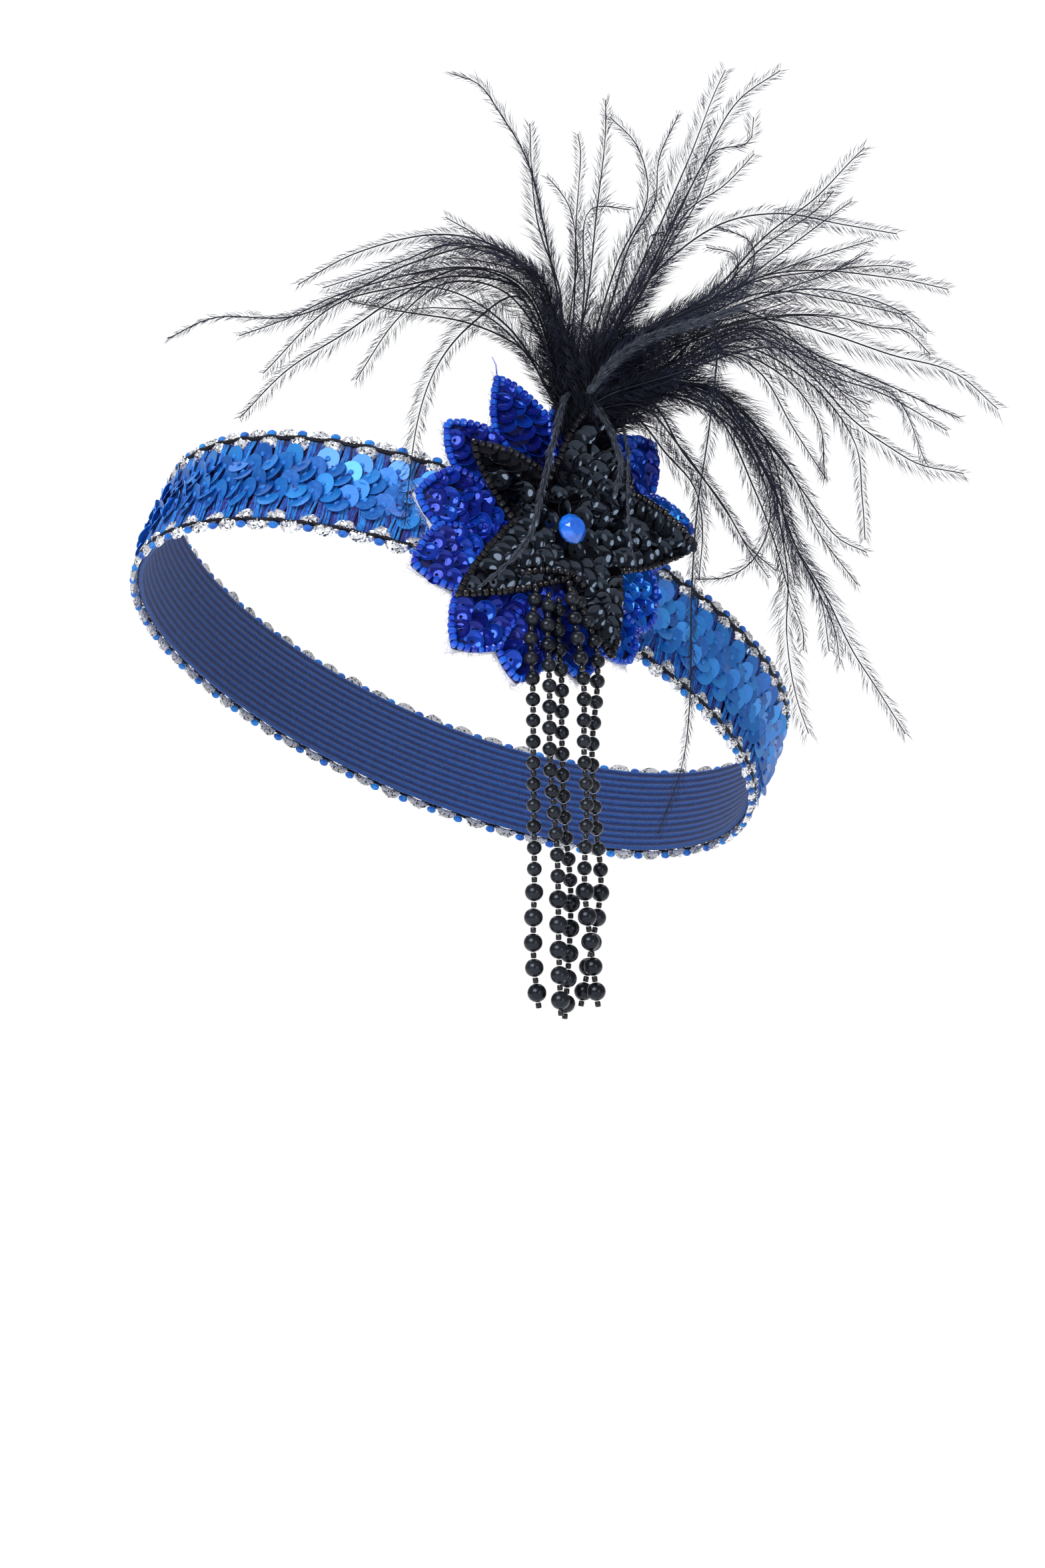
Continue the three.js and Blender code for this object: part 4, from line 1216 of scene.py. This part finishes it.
def frond_start(lean):
    """Where a frond leaves the root: further to the side that it leans to."""
    along = np.clip(lean / FULL_SPREAD_AT, -1, 1) * START_SPREAD * ROOT_HALF_LENGTH
    up = ROOT_ABOVE_FLOWER_MIDDLE + ROOT_HALF_HEIGHT * START_HEIGHT_SHARE - ROOT_DEPTH
    spread = chance.normal(0, 1, 3) * ROOT_SPREAD
    return flower_point(along + spread[0], up + spread[1], ROOT_MIDDLE + spread[2])


def frond_line(route, out):
    """The line of a frond from the root through its route, standing further forward towards its tip."""
    share = np.arange(1, len(route) + 1) / len(route)
    points = [fan_point((a, u, out * s**1.2)) for (a, u), s in zip(route, share)]
    return resampled(catmull_rom([frond_start(route[1][0]), *points], 12), FROND_STEP)


# A barb bends at its middle, where it is three-sided, and has a point at each end. Barbs cling
# together in clumps, which lean and reach alike. Slants are in degrees, and a droop or a spray is a
# share of the barb's length.
BARB_FACES = np.array([[0, 2, 1], [0, 3, 2], [0, 1, 3], [4, 1, 2], [4, 2, 3], [4, 3, 1]])
BARBS_IN_CLUMP = 7
BARB_SLANT = 42
SLANT_OF_CLUMPS = 6
SLANT_OF_BARBS = 7
REACH_OF_CLUMPS = 0.17
BARB_DROOP = 0.08
BARB_SPRAY = 0.22
SHAFT_TAPER = 0.6
SHAFT_TONE = 0.4


def add_strand(parts, line, thick, barb, gap, tone, front=None, look=0, slant=BARB_SLANT):
    """One frond: a thin shaft, and fine barbs on both sides of it."""
    lengths = lengths_along(line)
    total = lengths[-1]
    shaft = tube(line, thick * (1 - SHAFT_TAPER * lengths / total), 4)
    parts.add(shaft, *tube_faces(len(line), 4), tone=tone * SHAFT_TONE, look=look)
    count = int(total / gap)
    forward_line = unit(np.gradient(line, axis=0))
    # The barbs lie in a flat blade that is seen broad from the front, and twists along the frond
    twists = (0, 0)
    if front is None:
        front = FAN_FRONT + chance.normal(0, 0.35, 3)
        twists = chance.normal(0, 0.45, 2)
    for direction in (-1, 1):
        where = total * ((np.arange(count) + chance.uniform(0, 1, count)) / count) ** 1.5
        share = where / total
        base = points_at(where, lengths, line)
        forward = unit(points_at(where, lengths, forward_line))
        blade = unit(np.cross(forward, front))
        twist = (twists[0] + (twists[1] - twists[0]) * share)[:, None]
        blade = blade * np.cos(twist) + np.cross(blade, forward) * np.sin(twist)
        normal = np.cross(blade, forward)
        clumps = chance.normal(0, 1, (2, count // BARBS_IN_CLUMP + 2))
        in_clumps = np.arange(count) / BARBS_IN_CLUMP
        leaning, reaching = (np.interp(in_clumps, np.arange(len(c)), c) for c in clumps)
        slants = slant + SLANT_OF_CLUMPS * leaning + chance.normal(0, SLANT_OF_BARBS, count)
        angle = np.radians(slants)[:, None]
        envelope = np.minimum(share * 4 + 0.35, 1) * (1 - 0.55 * share**3)
        length = barb * BARB_STRETCH * envelope * chance.uniform(0.65, 1.1)
        length = length * (1 + REACH_OF_CLUMPS * reaching) * chance.uniform(0.75, 1.1, count)
        length = length[:, None]
        spray = normal * chance.normal(0, BARB_SPRAY, (count, 1))
        bent = angle * chance.uniform(0.4, 0.85, (count, 1))
        first, second = (
            unit(forward * np.cos(a) + blade * direction * np.sin(a) + spray) for a in (angle, bent)
        )
        middle = base + first * length * 0.5
        tip = middle + second * length * 0.5 - length * (0, 0, BARB_DROOP)
        # The barbs grow paler towards the tip, where light comes through them
        tones = tone * 0.8 + 0.4 * share + chance.normal(0, 0.15, count)
        corners = [middle + BARB_WIDTH * spoke for spoke in spokes(unit(tip - base))]
        parts.add_each(np.stack([base, *corners, tip], 1), [BARB_FACES], tones[:, None], look)


def wavy(line, size):
    """A line with a slow random sway that grows towards its tip."""
    share = np.linspace(0, 1, len(line))[:, None]
    sway = np.zeros_like(line)
    for turns in (0.7, 1.5, 3.0):
        phase = chance.uniform(0, TAU, 3)
        sway += np.sin(share * TAU * turns + phase) * chance.normal(0, size / turns, 3)
    return line + (sway - sway[:1]) * share**1.2


# Strands, painted pale as painted light, that fall from the plume over the flower: towards the nape, up and
# out, in millimetres
WISPS = [
    {"barb": 2.6, "route": [
        (-7, 37, 8.4), (-9.8, 33.5, 12.4), (-11.1, 27.8, 13.6), (-10.8, 6.3, 11.4),
        (-10.9, -6.9, 10.4), (-14, -16, 10.2), (-19.6, -26.2, 9.6),
    ]},
    {"barb": 1.5, "route": [
        (0.4, 38, 8.6), (3.4, 34, 12.6), (7.3, 26.9, 13.6), (10.5, 15.1, 13), (14.2, 6.2, 11),
        (18.6, -1.2, 10.2),
    ]},
    {"barb": 2.6, "route": [
        (-5, 38, 8.6), (-3, 34, 12.8), (1.4, 29, 13.8), (6.6, 21.4, 13.4), (7.6, 13, 12.4),
    ]},
]
# The bare quill that rises from the root to the plume's crown, in shares of the plume's reach
QUILL = [(0, 0.09), (0.036, 0.141), (0.112, 0.209), (0.196, 0.248), (0.289, 0.276), (0.382, 0.307)]
QUILL_OUT = 0.17
QUILL_BEND = 0.4
QUILL_WIDTH = 1.4
QUILL_STRANDS = 4


# Short fronds round the root fan out from the brow side to the nape side, in degrees, and are longest in
# the middle of the fan, in shares of the plume's reach
MASS_FROM = 112
MASS_TO = 28
MASS_REACH = 0.26
MASS_RISE = 0.06


def add_base_mass(parts):
    """Short dense fronds round the root, which lean towards the nape and hide one another."""
    for share in np.linspace(0, 1, MASS_FRONDS):
        angle = math.radians(MASS_FROM + (MASS_TO - MASS_FROM) * share) + chance.normal(0, 0.08)
        reach = (MASS_REACH + MASS_RISE * math.sin(share * math.pi)) * chance.uniform(0.75, 1.1)
        tip = np.array([math.cos(angle) - 0.05, math.sin(angle)]) * reach
        line = frond_line([tip * 0.3, tip * 0.65, tip], chance.uniform(-0.1, 0.12))
        add_strand(parts, wavy(line, 1.2), thick=0.3, barb=6.5, gap=0.2, tone=chance.uniform(0, 0.3))


def add_wisps(parts):
    outward = flower_axes(0.0)[2]
    for wisp in WISPS:
        line = resampled(flower_point(*catmull_rom(wisp["route"], 8).T), FROND_STEP)
        blade = {"front": outward, "barb": wisp["barb"], "gap": 0.1, "slant": 16}
        add_strand(parts, line, **blade, thick=0.3, tone=0.65, look=1)


def add_quill(parts):
    line = resampled(catmull_rom([fan_point((a, u, QUILL_OUT)) for a, u in QUILL], 12), FROND_STEP)
    for offset in np.linspace(-0.5, 0.5, QUILL_STRANDS) * QUILL_WIDTH:
        shifted = line + FAN_NAPE * offset - FAN_FRONT * abs(offset) * QUILL_BEND
        blade = {"front": FAN_FRONT, "barb": 3.6, "gap": 0.2, "slant": 20}
        add_strand(parts, shifted, **blade, thick=0.22, tone=0.5, look=1)


def make_plume():
    looks = [feather_look(), painted_lit_feather_look()]
    ends = [0, *FROND_GROUP_ENDS, len(FRONDS)]
    for name, first, end in zip(("plume_brow_side", "plume_crown", "plume_nape_side"), ends, ends[1:]):
        parts = Parts()
        for out, barb, copies, route in FRONDS[first:end]:
            for copy in range(1 + copies):
                shifted = out / 100 + chance.normal(0, 0.05) * (copy > 0)
                line = frond_line(np.array(route) / 100, shifted)
                line = wavy(line, 3.2 if copy else 0.5)
                if copy:
                    line = line[: int(len(line) * chance.uniform(0.6, 0.92))]
                tone = chance.uniform(0, 0.9)
                add_strand(parts, line, FROND_THICKNESS, barb, BARB_GAP, tone)
        if name == "plume_crown":
            add_base_mass(parts)
            add_wisps(parts)
            add_quill(parts)
        parts.mesh(name, looks, ["plume"] if name == "plume_brow_side" else [])


# The camera at the photograph's viewing angle: round from the brow side towards the flower, and a
# little from below. Its place and the lights' are in metres.
VIEW_TURN = math.radians(36)
VIEW_RISE = math.radians(-2)
VIEW_DISTANCE = 1.5
BACK = Vector((
    math.sin(VIEW_TURN) * math.cos(VIEW_RISE),
    -math.cos(VIEW_TURN) * math.cos(VIEW_RISE),
    math.sin(VIEW_RISE),
))
RIGHT = Vector((0, 0, 1)).cross(BACK).normalized()
UP = BACK.cross(RIGHT)


def link(name, data):
    made = bpy.data.objects.new(name, data)
    bpy.context.scene.collection.objects.link(made)
    return made


def make_camera():
    data = bpy.data.cameras.new("camera")
    data.lens = 128.7
    data.sensor_width = 36
    camera = link("camera", data)
    target = RIGHT * 0.0155 - UP * 0.0345
    facing = Matrix((RIGHT, UP, BACK)).transposed().to_4x4()
    camera.matrix_world = Matrix.Translation(target + BACK * VIEW_DISTANCE) @ facing
    bpy.context.scene.camera = camera


# A pale floor that curves up into a backdrop behind the object, in metres
FLOOR = -0.3
FLOOR_COLOUR = (0.86, 0.86, 0.87)
FLOOR_FRONT = -4.0
FLOOR_BACK = 1.6
FLOOR_HALF_WIDTH = 5.0
BEND_RADIUS = 1.2
BEND_STEPS = 24
BACKDROP_HEIGHT = 4.0


def make_stage():
    angles = [k / BEND_STEPS * math.pi / 2 for k in range(BEND_STEPS + 1)]
    bend = [(FLOOR_BACK + BEND_RADIUS * math.sin(a), BEND_RADIUS * (1 - math.cos(a))) for a in angles]
    profile = [(FLOOR_FRONT, 0.0), *bend, (FLOOR_BACK + BEND_RADIUS, BACKDROP_HEIGHT)]
    points = []
    for depth, height in profile:
        for x in (-FLOOR_HALF_WIDTH, FLOOR_HALF_WIDTH):
            points.append(FAN_NAPE * x - FAN_FRONT * depth + np.array([0, 0, FLOOR + height]))
    data = bpy.data.meshes.new("floor")
    data.from_pydata(points, [], grid_faces(len(profile), 2).tolist())
    data.shade_smooth()
    data.materials.append(floor_look())
    link("floor", data)


def area_light(name, place, target, size, power):
    data = bpy.data.lights.new(name, "AREA")
    data.shape = "ELLIPSE"
    data.size, data.size_y = size
    data.energy = power
    lamp = link(name, data)
    lamp.location = place
    lamp.rotation_euler = (target - place).to_track_quat("-Z", "Y").to_euler()


def make_lights():
    world = bpy.data.worlds.new("studio")
    world.use_nodes = True
    shade = world.node_tree.nodes["Background"]
    shade.inputs["Color"].default_value = (1, 1, 1, 1)
    shade.inputs["Strength"].default_value = 0.3
    bpy.context.scene.world = world
    bpy.context.scene.view_settings.view_transform = "Standard"
    middle = Vector((0.02, -0.01, 0.02))
    area_light("key", BACK * 1.3 - RIGHT * 0.7 + UP * 0.9, middle, size=(1.3, 1.1), power=26)
    area_light("fill", BACK * 1.4 + RIGHT * 0.9 + UP * 0.1, middle, size=(0.7, 0.9), power=3.5)
    area_light("top", -BACK * 0.3 + RIGHT * 0.2 + UP * 1.3, middle, size=(0.9, 0.7), power=9)
    wall = -BACK * 2.6 - UP * 0.1
    area_light("backdrop", UP * 1.6 - BACK, wall, size=(2.5, 0.6), power=33)


make_camera()
make_stage()
make_lights()
make_cloth()
make_ribs()
make_sequins()
make_braid(1, "top_trim", "top_braid")
make_braid(-1, "bottom_trim", "bottom_braid")
make_felt()
make_star()
make_petals()
make_stone()
for number, route in enumerate(STRING_ROUTES, 1):
    make_string(number, route)
make_plume()
